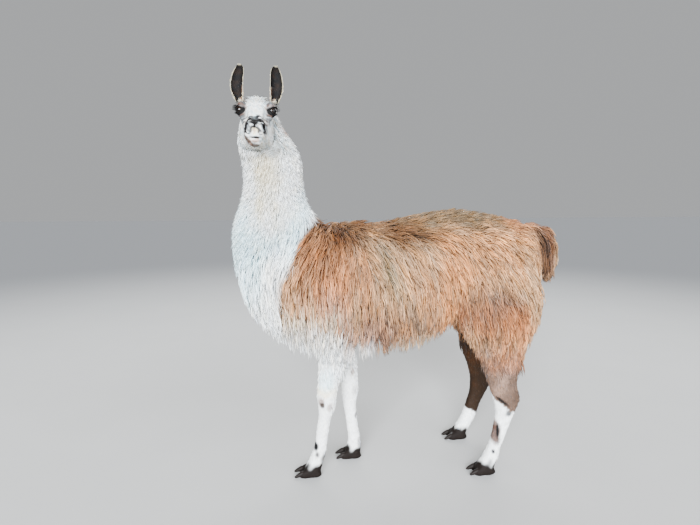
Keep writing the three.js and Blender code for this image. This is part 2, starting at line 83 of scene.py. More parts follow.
def unit(vectors: Array) -> Array:
    """Gives the vectors a length of 1."""
    return vectors / np.maximum(np.linalg.norm(vectors, axis=-1, keepdims=True), 1e-9)


def turned(aside: Array, along: Array) -> Array:
    """Gives an angle as a share of a full turn, from 0 to 1."""
    return np.arctan2(aside, along) / (2 * math.pi) + 0.5


def curve(value: Array, stations: tuple, column: int = 1) -> Array:
    """Reads one column of a smooth curve through rows that start with the place along it."""
    fine = smooth_rows(stations)
    return np.interp(value, fine[:, 0], fine[:, column])


def smooth_rows(rows: tuple, count: int = 240) -> Array:
    """Puts a smooth curve through rows.

    Args:
        rows: Rows that start with the place along the curve, in any order.
        count: How many rows to return.

    Returns:
        Rows at even places along the same curve.
    """
    rows = np.array(rows, float)
    rows = rows[np.argsort(rows[:, 0])]
    at = rows[:, 0]
    if len(rows) == 2:
        slope = np.repeat((rows[1:] - rows[:1]) / (at[1] - at[0]), 2, axis=0)
    else:
        slope = np.gradient(rows, at, axis=0)
    place = np.linspace(at[0], at[-1], count)
    k = np.clip(np.searchsorted(at, place, "right") - 1, 0, len(at) - 2)
    h = (at[k + 1] - at[k])[:, None]
    u = (place - at[k])[:, None] / h
    return (
        rows[k] * (1 + 2 * u) * (1 - u) ** 2
        + slope[k] * h * u * (1 - u) ** 2
        + rows[k + 1] * u * u * (3 - 2 * u)
        + slope[k + 1] * h * u * u * (u - 1)
    )


def ripple(points: Array, size: float, seed: int) -> Array:
    """Gives a smooth random field without a grid.

    Args:
        points: Places.
        size: Rough width of its lumps.
        seed: Which field.

    Returns:
        Numbers mostly from -1 to 1.
    """
    random = seeded(seed)
    waves = unit(random.normal(size=(9, 3))) * random.uniform(0.6, 1.5, (9, 1))
    turns = points @ (waves.T * (math.pi / size)) + random.uniform(0, 2 * math.pi, 9)
    return np.sin(turns).sum(-1) / 3


def nearest(spots: Array, places: Array) -> Pair:
    """Finds the spot nearest to each place.

    Args:
        spots: Where to look.
        places: From where to look.

    Returns:
        The number of each place's spot, and how far off it is.
    """
    tree = kdtree.KDTree(len(spots))
    for k, spot in enumerate(spots):
        tree.insert(spot, k)
    tree.balance()
    found = [tree.find(place)[1:] for place in places]
    return np.array([k for k, _ in found]), np.array([off for _, off in found])


# ---------------------------------------------------------------- forms


class Run(Enum):
    """Which way a loft runs: the order of (along, across its low and high, across its half)."""

    BACKWARD = (0, 2, 1)
    UPWARD = (2, 0, 1)
    FORWARD = (1, 2, 0)


@dataclass(frozen=True)
class Loft:
    """Sections along one axis, each a rounded box. Sizes are in millimetres."""

    run: Run
    rows: tuple  # (along, low, high, middle, half) and, where it changes, the low side's power
    high_power: float = 2.0
    low_power: float = 2.0

    def fine(self) -> Array:
        """Gives the sections at close steps, all but the last power in metres."""
        rows = smooth_rows(self.rows)
        return np.hstack([rows[:, :5] * MM, rows[:, 5:]])

    def distance(self, at: Coordinates) -> Array:
        """Gives the distance to the surface, nearly true close to it.

        Args:
            at: The x, y and z of each place.

        Returns:
            Distances.
        """
        fine = self.fine()
        along, across, aside = (at[k] for k in self.run.value)
        low, high, middle, half = (np.interp(along, fine[:, 0], fine[:, k]) for k in (1, 2, 3, 4))
        reach = np.maximum((high - low) / 2, 1e-4)
        half = np.maximum(half, 1e-4)
        u = (across - (high + low) / 2) / reach
        v = np.abs((aside - middle) / half) + 1e-5
        under = np.interp(along, fine[:, 0], fine[:, 5]) if fine.shape[1] > 5 else self.low_power
        power = np.where(u > 0, self.high_power, under)
        u = np.abs(u) + 1e-5
        r = (u**power + v**power) ** (1 / power)
        slope = r ** (1 - power) * np.hypot(u ** (power - 1) / reach, v ** (power - 1) / half)
        ends = np.maximum(fine[0, 0] - along, along - fine[-1, 0])
        return np.maximum((r - 1) / slope, ends)

    def box(self) -> Pair:
        """Finds the box round it.

        Returns:
            The lowest and highest corner.
        """
        fine = self.fine()
        low, high = np.zeros(3), np.zeros(3)
        a, b, c = self.run.value
        low[a], high[a] = fine[0, 0], fine[-1, 0]
        low[b], high[b] = fine[:, 1].min(), fine[:, 2].max()
        low[c], high[c] = (fine[:, 3] - fine[:, 4]).min(), (fine[:, 3] + fine[:, 4]).max()
        return low, high


@dataclass(frozen=True)
class Ball:
    """An ellipsoid. Sizes are in millimetres."""

    centre: tuple[float, float, float]
    radii: tuple[float, float, float]

    def distance(self, at: Coordinates) -> Array:
        """Gives the distance to the surface.

        Args:
            at: The x, y and z of each place.

        Returns:
            Distances.
        """
        parts = [(at[k] - self.centre[k] * MM) / (self.radii[k] * MM) for k in range(3)]
        near = np.sqrt(sum(p * p for p in parts)) + 1e-6
        slope = np.sqrt(sum((p / (r * MM)) ** 2 for p, r in zip(parts, self.radii))) + 1e-6
        return near * (near - 1) / slope

    def box(self) -> Pair:
        """Gives the lowest and highest corner."""
        centre, radii = np.array(self.centre) * MM, np.array(self.radii) * MM
        return centre - radii, centre + radii


@dataclass(frozen=True)
class Rod:
    """A straight limb with round ends, thicker or thinner along it. Sizes are in millimetres."""

    start: tuple[float, float, float]
    end: tuple[float, float, float]
    start_radius: float
    end_radius: float
    wide: float = 1.0  # how much wider it is in y than in the other two

    def distance(self, at: Coordinates) -> Array:
        """Gives the distance to the surface.

        Args:
            at: The x, y and z of each place.

        Returns:
            Distances.
        """
        squeeze = (1.0, 1 / self.wide, 1.0)
        start = np.array(self.start) * MM
        way = (np.array(self.end) * MM - start) * squeeze
        parts = [(at[k] - start[k]) * squeeze[k] for k in range(3)]
        t = np.clip(sum(p * w for p, w in zip(parts, way)) / (way @ way), 0, 1)
        off = np.sqrt(sum((p - t * w) ** 2 for p, w in zip(parts, way)))
        return off - (self.start_radius + (self.end_radius - self.start_radius) * t) * MM

    def box(self) -> Pair:
        """Finds the box round it.

        Returns:
            The lowest and highest corner.
        """
        ends = np.array([self.start, self.end]) * MM
        grow = max(self.start_radius, self.end_radius) * MM * np.array([1, self.wide, 1])
        return ends.min(0) - grow, ends.max(0) + grow


Form = Loft | Ball | Rod


def fuse(a: Array, b: Array, blend: float) -> Array:
    """Joins two distances with a rounded crease.

    Args:
        a: The first distance.
        b: The second distance.
        blend: How wide the rounding is.

    Returns:
        The distance to both together.
    """
    if blend <= 0:
        return np.minimum(a, b)
    h = np.clip(0.5 + 0.5 * (b - a) / blend, 0, 1)
    return b + (a - b) * h - blend * h * (1 - h)


def carve(a: Array, b: Array, blend: float) -> Array:
    """Takes the second form out of the first, with a rounded edge."""
    return -fuse(-a, b, blend)


@dataclass
class Volume:
    """A grid of distances that forms are joined into and carved out of. Sizes are in metres."""

    low: tuple[float, float, float]
    high: tuple[float, float, float]
    step: float
    value: Array = field(init=False)
    slopes: Optional[Array] = field(init=False, default=None)

    def __post_init__(self) -> None:
        """Fills the grid with empty space."""
        shape = [int(math.ceil((h - l) / self.step)) + 1 for l, h in zip(self.low, self.high)]
        self.value = np.full(shape, FAR, np.float32)

    def block(self, low: Array, high: Array) -> tuple[tuple, Coordinates]:
        """Finds the part of the grid inside a box.

        Args:
            low: The box's lowest corner.
            high: The box's highest corner.

        Returns:
            The slices of the grid, and their coordinates.
        """
        slices, axes = [], []
        for k in range(3):
            start = max(0, int((low[k] - self.low[k]) / self.step))
            stop = min(self.value.shape[k], int((high[k] - self.low[k]) / self.step) + 2)
            slices.append(slice(start, max(start, stop)))
            line = (self.low[k] + self.step * np.arange(start, max(start, stop))).astype(np.float32)
            axes.append(line.reshape([-1 if j == k else 1 for j in range(3)]))
        return tuple(slices), tuple(axes)

    def change(self, form: Form, blend: float, how: Callable[[Array, Array, float], Array]) -> None:
        """Joins a form in or carves it out, near the form alone.

        Args:
            form: The form.
            blend: Width of the rounded crease, in millimetres.
            how: fuse or carve.
        """
        low, high = form.box()
        margin = blend * MM + 4 * self.step + (AROUND if how is fuse else 0.0)
        slices, at = self.block(low - margin, high + margin)
        if all(s.stop > s.start for s in slices):
            near = np.clip(form.distance(at), -FAR, FAR)
            self.value[slices] = how(self.value[slices], near, blend * MM)

    def add(self, *forms: Form, blend: float = 0) -> None:
        """Joins forms in, with creases rounded over blend millimetres."""
        for form in forms:
            self.change(form, blend, fuse)

    def cut(self, *forms: Form, blend: float = 0) -> None:
        """Carves forms out, with edges rounded over blend millimetres."""
        for form in forms:
            self.change(form, blend, carve)

    def surface(self) -> Pair:
        """Meshes the zero surface.

        Returns:
            Its points, and its four-sided faces.
        """
        grid = openvdb.FloatGrid(FAR)
        grid.copyFromArray(self.value)
        points, quads = grid.convertToQuads(0.0)
        return points.astype(np.float64) * self.step + np.array(self.low), quads[:, ::-1]

    def read(self, points: Array) -> Pair:
        """Reads the distance and the outward direction at points.

        Args:
            points: Places.

        Returns:
            The distances, and directions of length 1.
        """
        if self.slopes is None:
            self.slopes = np.stack([self.value, *np.gradient(self.value, self.step)], axis=-1)
        top = np.array(self.value.shape) - 1.001
        place = np.clip((points - np.array(self.low)) / self.step, 0, top)
        cell = place.astype(int)
        part = place - cell
        total = np.zeros((len(points), 4))
        for corner in np.ndindex(2, 2, 2):
            share = np.prod(np.where(corner, part, 1 - part), axis=1)
            i, j, k = (cell + corner).T
            total += self.slopes[i, j, k] * share[:, None]
        return total[:, 0], unit(total[:, 1:])


# ---------------------------------------------------------------- meshes and materials


def walls(grid: Array) -> Array:
    """Gives the four-sided faces between rows of points that run round."""
    after = np.roll(grid, -1, axis=1)
    return np.stack([grid[:-1], after[:-1], after[1:], grid[1:]], -1).reshape(-1, 4)


def capped_tube(rows: int, around: int) -> Pair:
    """Joins rings of points into a closed tube.

    Args:
        rows: How many rings.
        around: How many points each has. The middles of its two ends come after the rings.

    Returns:
        Face corners, and how many each face has.
    """
    grid = np.arange(rows * around).reshape(rows, around)
    after = np.roll(grid, -1, axis=1)
    quads, middle = walls(grid), rows * around
    start = np.stack([np.full(around, middle), after[0], grid[0]], -1)
    end = np.stack([np.full(around, middle + 1), grid[-1], after[-1]], -1)
    sizes = np.concatenate([np.full(len(quads), 4), np.full(2 * around, 3)])
    return np.concatenate([quads.ravel(), start.ravel(), end.ravel()]), sizes


def make_object(name: str, points: Array, corners: Array, sizes: Array) -> Piece:
    """Makes a smooth-shaded mesh object.

    Args:
        name: The piece's name.
        points: Vertex places.
        corners: Vertex index of each face corner, face after face.
        sizes: How many corners each face has.

    Returns:
        The object, linked to the scene.
    """
    mesh = bpy.data.meshes.new(name)
    mesh.vertices.add(len(points))
    mesh.vertices.foreach_set("co", np.ascontiguousarray(points, np.float32).ravel())
    mesh.loops.add(len(corners))
    mesh.loops.foreach_set("vertex_index", np.ascontiguousarray(corners, np.int32))
    mesh.polygons.add(len(sizes))
    starts = np.concatenate([[0], np.cumsum(sizes)[:-1]]).astype(np.int32)
    mesh.polygons.foreach_set("loop_start", starts)
    mesh.polygons.foreach_set("use_smooth", np.ones(len(sizes), bool))
    mesh.update(calc_edges=True)
    made = bpy.data.objects.new(name, mesh)
    bpy.context.scene.collection.objects.link(made)
    return made


def read_mesh(mesh: bpy.types.Mesh) -> Pair:
    """Reads a mesh.

    Args:
        mesh: The mesh.

    Returns:
        Its vertex places, and the vertices of each of its triangles.
    """
    mesh.calc_loop_triangles()
    points = np.zeros(len(mesh.vertices) * 3)
    mesh.vertices.foreach_get("co", points)
    corners = np.zeros(len(mesh.loop_triangles) * 3, np.int32)
    mesh.loop_triangles.foreach_get("vertices", corners)
    return points.reshape(-1, 3), corners.reshape(-1, 3)


def face_outwards(piece: Piece) -> Piece:
    """Turns a closed mesh's faces outwards.

    Args:
        piece: The mesh object.

    Returns:
        The same object.
    """
    points, corners = read_mesh(piece.data)
    a, b, c = (points[corners[:, k]] - points.mean(0) for k in range(3))
    if np.einsum("ij,ij->i", a, np.cross(b, c)).sum() < 0:
        piece.data.flip_normals()
    return piece


def paint(piece: Piece, colours: Array) -> None:
    """Writes a colour on each vertex.

    Args:
        piece: The mesh object.
        colours: Linear colours, one row for each vertex.
    """
    layer = piece.data.color_attributes.new("coat_colour", "FLOAT_COLOR", "POINT")
    rgba = np.ones((len(colours), 4), np.float32)
    rgba[:, :3] = np.clip(colours, 0, 1)
    layer.data.foreach_set("color", rgba.ravel())


def triangles(piece: Piece) -> int:
    """Counts a mesh object's triangles."""
    return sum(face.loop_total - 2 for face in piece.data.polygons)


def add_node(
    tree: bpy.types.NodeTree, kind: str, inputs: Optional[dict] = None, **settings: object
) -> bpy.types.Node:
    """Adds a node with its settings and the links into it.

    Args:
        tree: The material's node tree.
        kind: The node's type, after ShaderNode.
        inputs: Input name or number to its value, or to the socket or the node that feeds it.
        settings: Attributes of the node, and a ramp's stops as places and hex colours.

    Returns:
        The node.
    """
    node = tree.nodes.new("ShaderNode" + kind)
    stops = settings.pop("stops", ())
    for name, value in settings.items():
        setattr(node, name, value)
    for _ in stops[2:]:
        node.color_ramp.elements.new(0.5)
    for k, (place, code) in enumerate(stops):
        node.color_ramp.elements[k].position = place
        node.color_ramp.elements[k].color = (*srgb(code), 1)
    for key, source in (inputs or {}).items():
        if isinstance(source, bpy.types.Node):
            source = source.outputs[0]
        if isinstance(source, bpy.types.NodeSocket):
            tree.links.new(source, node.inputs[key])
        else:
            node.inputs[key].default_value = source
    return node


def new_material(name: str) -> tuple[bpy.types.Material, Callable[..., bpy.types.Node]]:
    """Makes an empty node material.

    Args:
        name: What the surface is made of.

    Returns:
        The material, and add_node for its tree.
    """
    material = bpy.data.materials.new(name)
    material.use_nodes = True
    material.node_tree.nodes.clear()
    return material, partial(add_node, material.node_tree)


@dataclass(frozen=True)
class WoolFinish:
    """Long llama wool, washed by rain and combed by its own weight: matt, a soft sheen where fibres turn."""

    name: str = "llama_wool_long_locks"
    roughness: float = 0.82  # dull: each fibre scatters, the lock as a whole has no clear highlight
    ior: float = 1.55  # keratin
    sheen: float = 0.04  # pale rim that short fibre ends give at grazing angles
    fibre: float = 0.9 * MM  # real fibres are 0.03 mm; drawn thirty times coarser so that they show at all
    wander: float = 26 * MM  # how far a fibre runs before its tone changes
    groove: float = 0.8 * MM  # depth between fibres

    def material(self) -> bpy.types.Material:
        """Builds the wool: the lock's colour, streaked along the lock by fibre.

        Returns:
            The material.
        """
        material, add = new_material(self.name)
        tone = add("Attribute", attribute_name="coat_colour")
        lie = add("Attribute", attribute_name="lie").outputs["Vector"]
        place = add("Mapping", {"Vector": lie, "Scale": (1 / self.fibre, 1 / self.wander, 1.0)})
        fibre = add("TexNoise", {"Vector": place, "Scale": 1.0, "Detail": 2.0})
        light = {"Value": fibre, "From Min": 0.25, "From Max": 0.75, "To Min": 0.72, "To Max": 1.2}
        streaked = add("VectorMath", {0: tone, "Scale": add("MapRange", light)}, operation="SCALE")
        wool = {
            "Base Color": streaked,
            "Normal": add("Bump", {"Height": fibre, "Strength": 0.35, "Distance": self.groove}),
            "Roughness": self.roughness,
            "IOR": self.ior,
            "Sheen Weight": self.sheen,
            "Sheen Roughness": 0.5,
            "Specular IOR Level": 0.1,
        }
        add("OutputMaterial", {"Surface": add("BsdfPrincipled", wool)})
        return material


@dataclass(frozen=True)
class ShortHairFinish:
    """Skin under short flat hair, slicked down by its own oil: fine combed grain and a slight gloss."""

    name: str = "llama_hide_short_hair"
    roughness: float = 0.68
    ior: float = 1.45  # skin
    hair: float = 1.6 * MM  # hair lies in tufts of about 0.5 mm; drawn three times coarser to show
    drawn_out: float = 0.16  # how much finer the grain is across the hair than along it
    groove: float = 1.8 * MM  # depth between tufts

    def material(self) -> bpy.types.Material:
        """Builds the hide: its markings, a mottle, painted shade between the tufts and a fine combed bump.

        Returns:
            The material.
        """
        material, add = new_material(self.name)
        where = add("TexCoord").outputs["Object"]
        fine = 1 / self.hair
        comb = add("Mapping", {"Vector": where, "Scale": (fine, fine, self.drawn_out / self.hair)})
        hair = add("TexNoise", {"Vector": comb, "Scale": 1.0, "Detail": 3.0})
        mottle = add("TexNoise", {"Vector": where, "Scale": 60.0, "Detail": 4.0})  # clouds of 17 mm
        both = add("Math", {0: hair, 1: mottle}, operation="ADD")
        # grain and mottle scale the colour: darker where the grain's bump is low, painted shade between the
        # tufts; the mottle is a random tone
        light = {"Value": both, "From Min": 0.7, "From Max": 1.3, "To Min": 0.7, "To Max": 1.12}
        tone = add("Attribute", attribute_name="coat_colour")
        hide = {
            "Base Color": add("VectorMath", {0: tone, "Scale": add("MapRange", light)}, operation="SCALE"),
            "Normal": add("Bump", {"Height": hair, "Strength": 0.8, "Distance": self.groove}),
            "Roughness": self.roughness,
            "IOR": self.ior,
            "Specular IOR Level": 0.12,
        }
        add("OutputMaterial", {"Surface": add("BsdfPrincipled", hide)})
        return material


@dataclass(frozen=True)
class EyeFinish:
    """A wet cornea over a near-black brown iris: one sharp highlight on a dark ball."""

    name: str = "cornea_wet_over_dark_iris"
    rim: str = "0d0a08"
    iris: str = "1c120b"
    pupil: str = "050404"

    def material(self) -> bpy.types.Material:
        """Builds the eye from the angle off its axis that each vertex holds.

        Returns:
            The material.
        """
        material, add = new_material(self.name)
        turn = add("Attribute", attribute_name="gaze").outputs["Fac"]
        where = add("TexCoord").outputs["Object"]
        fleck = add("TexNoise", {"Vector": where, "Scale": 900.0, "Detail": 3.0})  # flecks of 1 mm
        flecked = add("Math", {0: fleck, 1: 0.08, 2: turn}, operation="MULTIPLY_ADD")
        places = (0.0, 0.34, 0.42, 0.72, 0.84, 1.0)
        codes = (self.pupil, self.pupil, self.iris, self.iris, self.pupil, self.rim)
        ball = {
            "Base Color": add("ValToRGB", {"Fac": flecked}, stops=tuple(zip(places, codes))),
            "Roughness": 0.06,
            "IOR": 1.376,  # cornea
            "Coat Weight": 0.25,  # the tear film
            "Coat Roughness": 0.02,
            "Specular IOR Level": 0.2,
        }
        add("OutputMaterial", {"Surface": add("BsdfPrincipled", ball)})
        return material


@dataclass(frozen=True)
class NailFinish:
    """Horn grown in layers and scuffed by walking: dark, dull, ribbed across."""

    name: str = "keratin_horn_grown"
    dark: str = "0c0908"
    pale: str = "241a14"
    rib: float = 1.6 * MM  # growth ribs
    groove: float = 0.6 * MM

    def material(self) -> bpy.types.Material:
        """Builds the horn with ribs across the toe and scuffs.

        Returns:
            The material.
        """
        material, add = new_material(self.name)
        where = add("TexCoord").outputs["Object"]
        wave = {"Scale": 1 / (self.rib * 3.14), "Distortion": 2.0, "Detail": 2.0, "Detail Scale": 4.0}
        rib = add("TexWave", {"Vector": where, **wave}).outputs["Fac"]
        scuff = add("TexNoise", {"Vector": where, "Scale": 140.0, "Detail": 5.0})  # scuffs of 7 mm
        worn = add("Math", {0: rib, 1: scuff}, operation="MULTIPLY")
        horn = {
            "Base Color": add("ValToRGB", {"Fac": worn}, stops=((0, self.dark), (1, self.pale))),
            "Normal": add("Bump", {"Height": worn, "Strength": 0.4, "Distance": self.groove}),
            "Roughness": 0.55,
            "IOR": 1.55,  # keratin
            "Specular IOR Level": 0.12,
        }
        add("OutputMaterial", {"Surface": add("BsdfPrincipled", horn)})
        return material


@dataclass(frozen=True)
class FloorFinish:
    """Pale plaster trowelled flat: even, matt, with a faint cloudiness, and greyer far away."""

    name: str = "plaster_trowelled_pale"
    light: str = "b4b4b2"
    shade: str = "aeaeac"
    far: str = "6f7071"
    reach: tuple[float, float] = (2.2, 7.5)  # where it starts and ends turning grey, in metres

    def material(self) -> bpy.types.Material:
        """Builds the plaster, clouded and fading to grey.

        Returns:
            The material.
        """
        material, add = new_material(self.name)
        where = add("TexCoord").outputs["Object"]
        cloud = add("TexNoise", {"Vector": where, "Scale": 2.5, "Detail": 6.0})  # clouds of 400 mm
        clouded = add("ValToRGB", {"Fac": cloud}, stops=((0, self.shade), (1, self.light)))
        out = add("VectorMath", {0: where}, operation="LENGTH").outputs["Value"]
        fade = add("MapRange", {0: out, 1: self.reach[0], 2: self.reach[1]}, interpolation_type="SMOOTHSTEP")
        mixed = add("Mix", {0: fade, 6: clouded, 7: (*srgb(self.far), 1)}, data_type="RGBA").outputs[2]
        plaster = {"Base Color": mixed, "Roughness": 0.9, "Specular IOR Level": 0.0}
        add("OutputMaterial", {"Surface": add("BsdfPrincipled", plaster)})
        return material


# ---------------------------------------------------------------- markings


class Hair(Enum):
    """The coat's colours."""

    WHITE = "f1f2ef"
    CREAM = "ebe0c2"
    ASH = "a5a29c"
    RUST = "9c6038"
    CARAMEL = "a6805c"
    BEIGE = "ba7e4e"
    STRAW = "655038"
    UMBER = "4a2b12"
    CHESTNUT = "4a2d20"
    DUSK = "6e4b39"
    SAGE = "6f6147"
    BARK = "1f150e"
    SLATE = "16161a"
    SOOT = "0b0a0a"
    BLUSH = "b4907c"
    # painted shade: the cool blue-grey that white hair shows where skylight falls on it
    FROST = "d7f0f6"
    OLIVE = "22160c"
    MOUSE = "5e4a3e"
    SMOKE = "3e3e40"
    MUD = "120c09"
    LASH = "0f0c0b"

    @property
    def linear(self) -> Array:
        """The colour in linear light."""
        return srgb(self.value)


(WHITE, CREAM, ASH, RUST, CARAMEL, BEIGE, STRAW, UMBER, CHESTNUT, DUSK, SAGE, BARK,
 SLATE, SOOT, BLUSH, FROST, OLIVE, MOUSE, SMOKE, MUD, LASH) = Hair


def toward(colour: Array, goal: Hair, share: Array, light: float = 1.0) -> Array:
    """Moves colours toward a hair's colour, made lighter or darker, by a share for each row."""
    return colour + (goal.linear * light - colour) * share[:, None]


@dataclass(frozen=True)
class Patch:
    """A soft patch of colour, an oval seen from one side. Sizes are in millimetres."""

    hair: Hair
    along: float
    height: float
    half_length: float
    half_height: float
    strength: float = 1.0
    soft: float = 0.45
    tilt: float = 0.0  # degrees that its long way is turned, anticlockwise

    def share(self, along: Array, height: Array, wobble: Array) -> Array:
        """Gives how much of this patch shows at each place.

        Args:
            along: Places along the patch's first axis.
            height: Places along its second axis.
            wobble: Random shift of its edge.

        Returns:
            Shares from 0 to its strength.
        """
        c, s = math.cos(math.radians(self.tilt)), math.sin(math.radians(self.tilt))
        a, h = along / MM - self.along, height / MM - self.height
        off = np.hypot((a * c + h * s) / self.half_length, (h * c - a * s) / self.half_height)
        return self.strength * rise(1 + self.soft, 1 - self.soft, off + wobble * self.soft)


@dataclass(frozen=True)
class Markings:
    """Where each colour of hair grows: rows for Patch, the last on top. Skin and coat both read it."""

    bib_edge: tuple = (  # (height, how far back the white reaches), the long edge of the white bib
        (480, -262), (548, -280), (600, -286), (614, -290), (640, -305), (653, -367), (665, -419),
        (673, -498), (700, -525), (770, -532), (823, -539), (863, -534), (902, -518), (949, -494),
        (995, -474), (1038, -454), (1061, -439), (1084, -419), (1103, -403), (1126, -384), (1180, -340),
        (1300, -300),
    )
    flank: tuple = (
        (CARAMEL, -60, 1000, 300, 190, 0.5), (RUST, -350, 900, 150, 210, 0.75, 0.6),
        # The umber patches over the withers are dark brown hair, painted darker still as shade on the top of
        # the back.
        (UMBER, -210, 1115, 220, 95, 1.0, 0.75), (UMBER, 0, 1098, 160, 70, 0.85, 0.6, -25),
        (DUSK, -60, 640, 260, 90, 0.75, 0.6), (DUSK, -150, 680, 80, 85, 0.55, 0.6),
        (BLUSH, -215, 590, 60, 60, 0.7, 0.6), (SAGE, -100, 925, 30, 90, 0.95, 0.6, 8),
        (BEIGE, -18, 627, 40, 40, 0.8, 0.6), (BEIGE, 330, 985, 220, 115, 0.65, 0.6),
        # The straw patch along the rump's top is brown hair, painted darker as shade on the top of the back.
        (STRAW, 270, 1145, 270, 62, 1.0, 0.7), (RUST, 600, 1110, 110, 50, 0.7, 0.7),
        (CHESTNUT, 650, 1070, 75, 38, 0.55, 0.6, -50), (BEIGE, 160, 830, 66, 170, 0.95, 0.6, -4),
        (BEIGE, 95, 830, 50, 90, 0.6, 0.7), (RUST, 70, 740, 60, 120, 0.3, 0.7),
        (BLUSH, -360, 735, 120, 60, 0.4, 0.7), (CREAM, -430, 686, 130, 26, 0.7, 0.7),
        (DUSK, 340, 745, 110, 80, 0.9, 0.6), (RUST, 390, 650, 130, 90, 0.8, 0.6),
        (CHESTNUT, 655, 1010, 80, 90, 0.72, 0.7), (CHESTNUT, 690, 900, 60, 110, 0.5, 0.6),
        (BARK, 655, 955, 14, 80, 0.55, 0.7, 8), (CARAMEL, 722, 990, 20, 95, 0.9, 0.6),
        # The bark spot at 318, 612 is a painted shadow in the fold at the stifle.
        (BARK, 318, 612, 16, 34, 0.8, 0.5), (RUST, 400, 520, 110, 60, 0.6, 0.6),
    )
    neck: tuple = (
        # The first three patches are painted cool shade on the white breast and neck.
        (FROST, -700, 960, 90, 200, 0.85, 0.7), (FROST, -560, 1040, 120, 90, 0.7, 0.7),
        (FROST, -440, 1120, 30, 130, 0.6, 0.7, -14), (CREAM, -592, 1265, 44, 150, 0.85, 0.7),
        # The ash band at 1384 is a painted shadow under the jaw, where the cheeks' hair overhangs the neck.
        (CREAM, -560, 1120, 40, 60, 0.35, 0.7), (ASH, -612, 1384, 62, 8, 0.45, 0.6),
        (BLUSH, -510, 1472, 17, 50, 0.8, 0.6, -12), (ASH, -420, 640, 110, 60, 0.5, 0.6),
        (CREAM, -400, 690, 90, 40, 0.7, 0.6),
    )
    foreleg: tuple = (
        # The second patch is painted cool shade over the knee.
        (CREAM, -348, 392, 40, 24, 0.8, 0.6), (FROST, -340, 440, 30, 40, 0.7, 0.7),
        (DUSK, -368, 350, 13, 22, 0.75, 0.6), (BARK, -363, 333, 9, 12, 0.9, 0.4),
        (DUSK, -334, 322, 12, 16, 0.65, 0.6), (SOOT, -392, 137, 12, 19, 1.0, 0.35),
        (BARK, -386, 104, 9, 13, 0.9, 0.5), (BARK, -354, 78, 13, 26, 0.85, 0.6),
        (BARK, -196, 210, 7, 12, 0.7, 0.4), (DUSK, -212, 420, 9, 20, 0.6, 0.5),
        (BARK, -176, 80, 12, 24, 0.6, 0.6), (ASH, -205, 330, 14, 24, 0.6, 0.4),
    )
    near_gaskin: tuple = (
        (RUST, 420, 555, 110, 60, 0.7, 0.7), (BLUSH, 400, 450, 40, 90, 0.3, 0.7, -30),
        # The soot slit at the hock is a painted shadow in its fold.
        (BLUSH, 332, 545, 34, 24, 0.5, 0.6), (SOOT, 416, 337, 26, 6, 1.0, 0.5, -38),
        # The olive patches are painted shade along the leg's back and front edges and over the hock.
        (OLIVE, 492, 360, 24, 60, 0.3, 0.7), (OLIVE, 372, 440, 18, 60, 0.3, 0.7, -15),
        (OLIVE, 450, 335, 30, 30, 0.2, 0.7),
    )
    far_gaskin: tuple = ((UMBER, 400, 470, 40, 110, 0.4, 0.7),)
    near_shank: tuple = (
        (DUSK, 384, 228, 14, 26, 0.85, 0.5), (CHESTNUT, 396, 184, 20, 44, 0.95, 0.4),
        (SOOT, 402, 194, 6, 32, 1.0, 0.5), (SLATE, 446, 280, 14, 16, 0.9, 0.5),
        (SLATE, 384, 107, 8, 10, 1.0, 0.4),
    )
    cheek: tuple = (
        (ASH, 92, 1535, 20, 14, 0.5, 0.6), (ASH, 60, 1400, 60, 18, 0.45, 0.6),
        (BLUSH, 205, 1428, 44, 10, 0.6, 0.5), (SMOKE, 138, 1578, 34, 13, 0.98, 0.7),
        (SMOKE, 172, 1518, 24, 22, 0.9, 0.7), (SLATE, 158, 1522, 9, 20, 0.7, 0.5, 20),
    )
    muzzle: tuple = (
        (SMOKE, -30, 1478, 10, 27, 0.94, 0.6, -14), (SMOKE, 34, 1476, 10, 27, 0.94, 0.6, 14),
        (SMOKE, -12, 1470, 7, 20, 0.92, 0.6, -18), (SMOKE, 14, 1469, 7, 20, 0.92, 0.6, 18),
        # These two smoke strips are painted shadows down the sides of the face, under the cheeks.
        (SMOKE, -46, 1490, 7, 36, 0.94, 0.7), (SMOKE, 46, 1514, 8, 26, 0.9, 0.7),
        (SMOKE, -35, 1538, 8, 24, 0.95, 0.7), (ASH, 30, 1548, 8, 22, 0.5, 0.7),
        # The first patch here is painted cool shade down the middle of the forehead.
        (FROST, 0, 1540, 10, 34, 0.8, 0.7), (SMOKE, 3, 1507, 28, 15, 0.6, 0.6),
        (SOOT, 0, 1485, 10, 23, 1.0, 0.45), (SOOT, 19, 1502, 18, 13, 1.0, 0.45, -8),
        (SLATE, 8, 1517, 9, 13, 1.0, 0.5), (SLATE, -18, 1508, 13, 9, 1.0, 0.5, 28),
        (SOOT, -4, 1499, 18, 12, 1.0, 0.5), (UMBER, -33, 1497, 8, 14, 0.4, 0.6),
        (UMBER, 37, 1497, 8, 14, 0.4, 0.6), (SOOT, -10, 1464, 4, 12, 0.9, 0.5, -18),
        (SOOT, 12, 1463, 4, 12, 0.9, 0.5, 18), (SOOT, -31, 1480, 6, 24, 1.0, 0.35, -14),
        (SOOT, -31, 1456, 3.5, 9, 1.0, 0.4, 32), (SLATE, -21, 1450, 8, 3, 0.9, 0.45),
        (SOOT, 35, 1478, 6, 24, 1.0, 0.35, 14), (SOOT, 34, 1456, 3.5, 9, 1.0, 0.4, -32),
        (SLATE, 24, 1449, 9, 3, 0.9, 0.45), (CREAM, 0, 1455, 9, 11, 0.9, 0.5),
        (BLUSH, 0, 1460, 4, 7, 0.5, 0.5), (SOOT, 0, 1438, 19, 5, 1.0, 0.35),
        (BLUSH, 2, 1427, 16, 6, 0.8, 0.5), (MOUSE, -24, 1428, 22, 8, 1.0, 0.55, -53),
        (BARK, 4, 1409, 20, 10, 0.9, 0.5), (BLUSH, -28, 1414, 12, 8, 0.6, 0.5),
    )
    # (hair, where it is full and where it ends off the eye's middle, most)
    eye_ring: tuple = ((DUSK, 26, 36, 0.6), (SLATE, 23, 28, 0.8), (SOOT, 20.5, 24, 1.0))

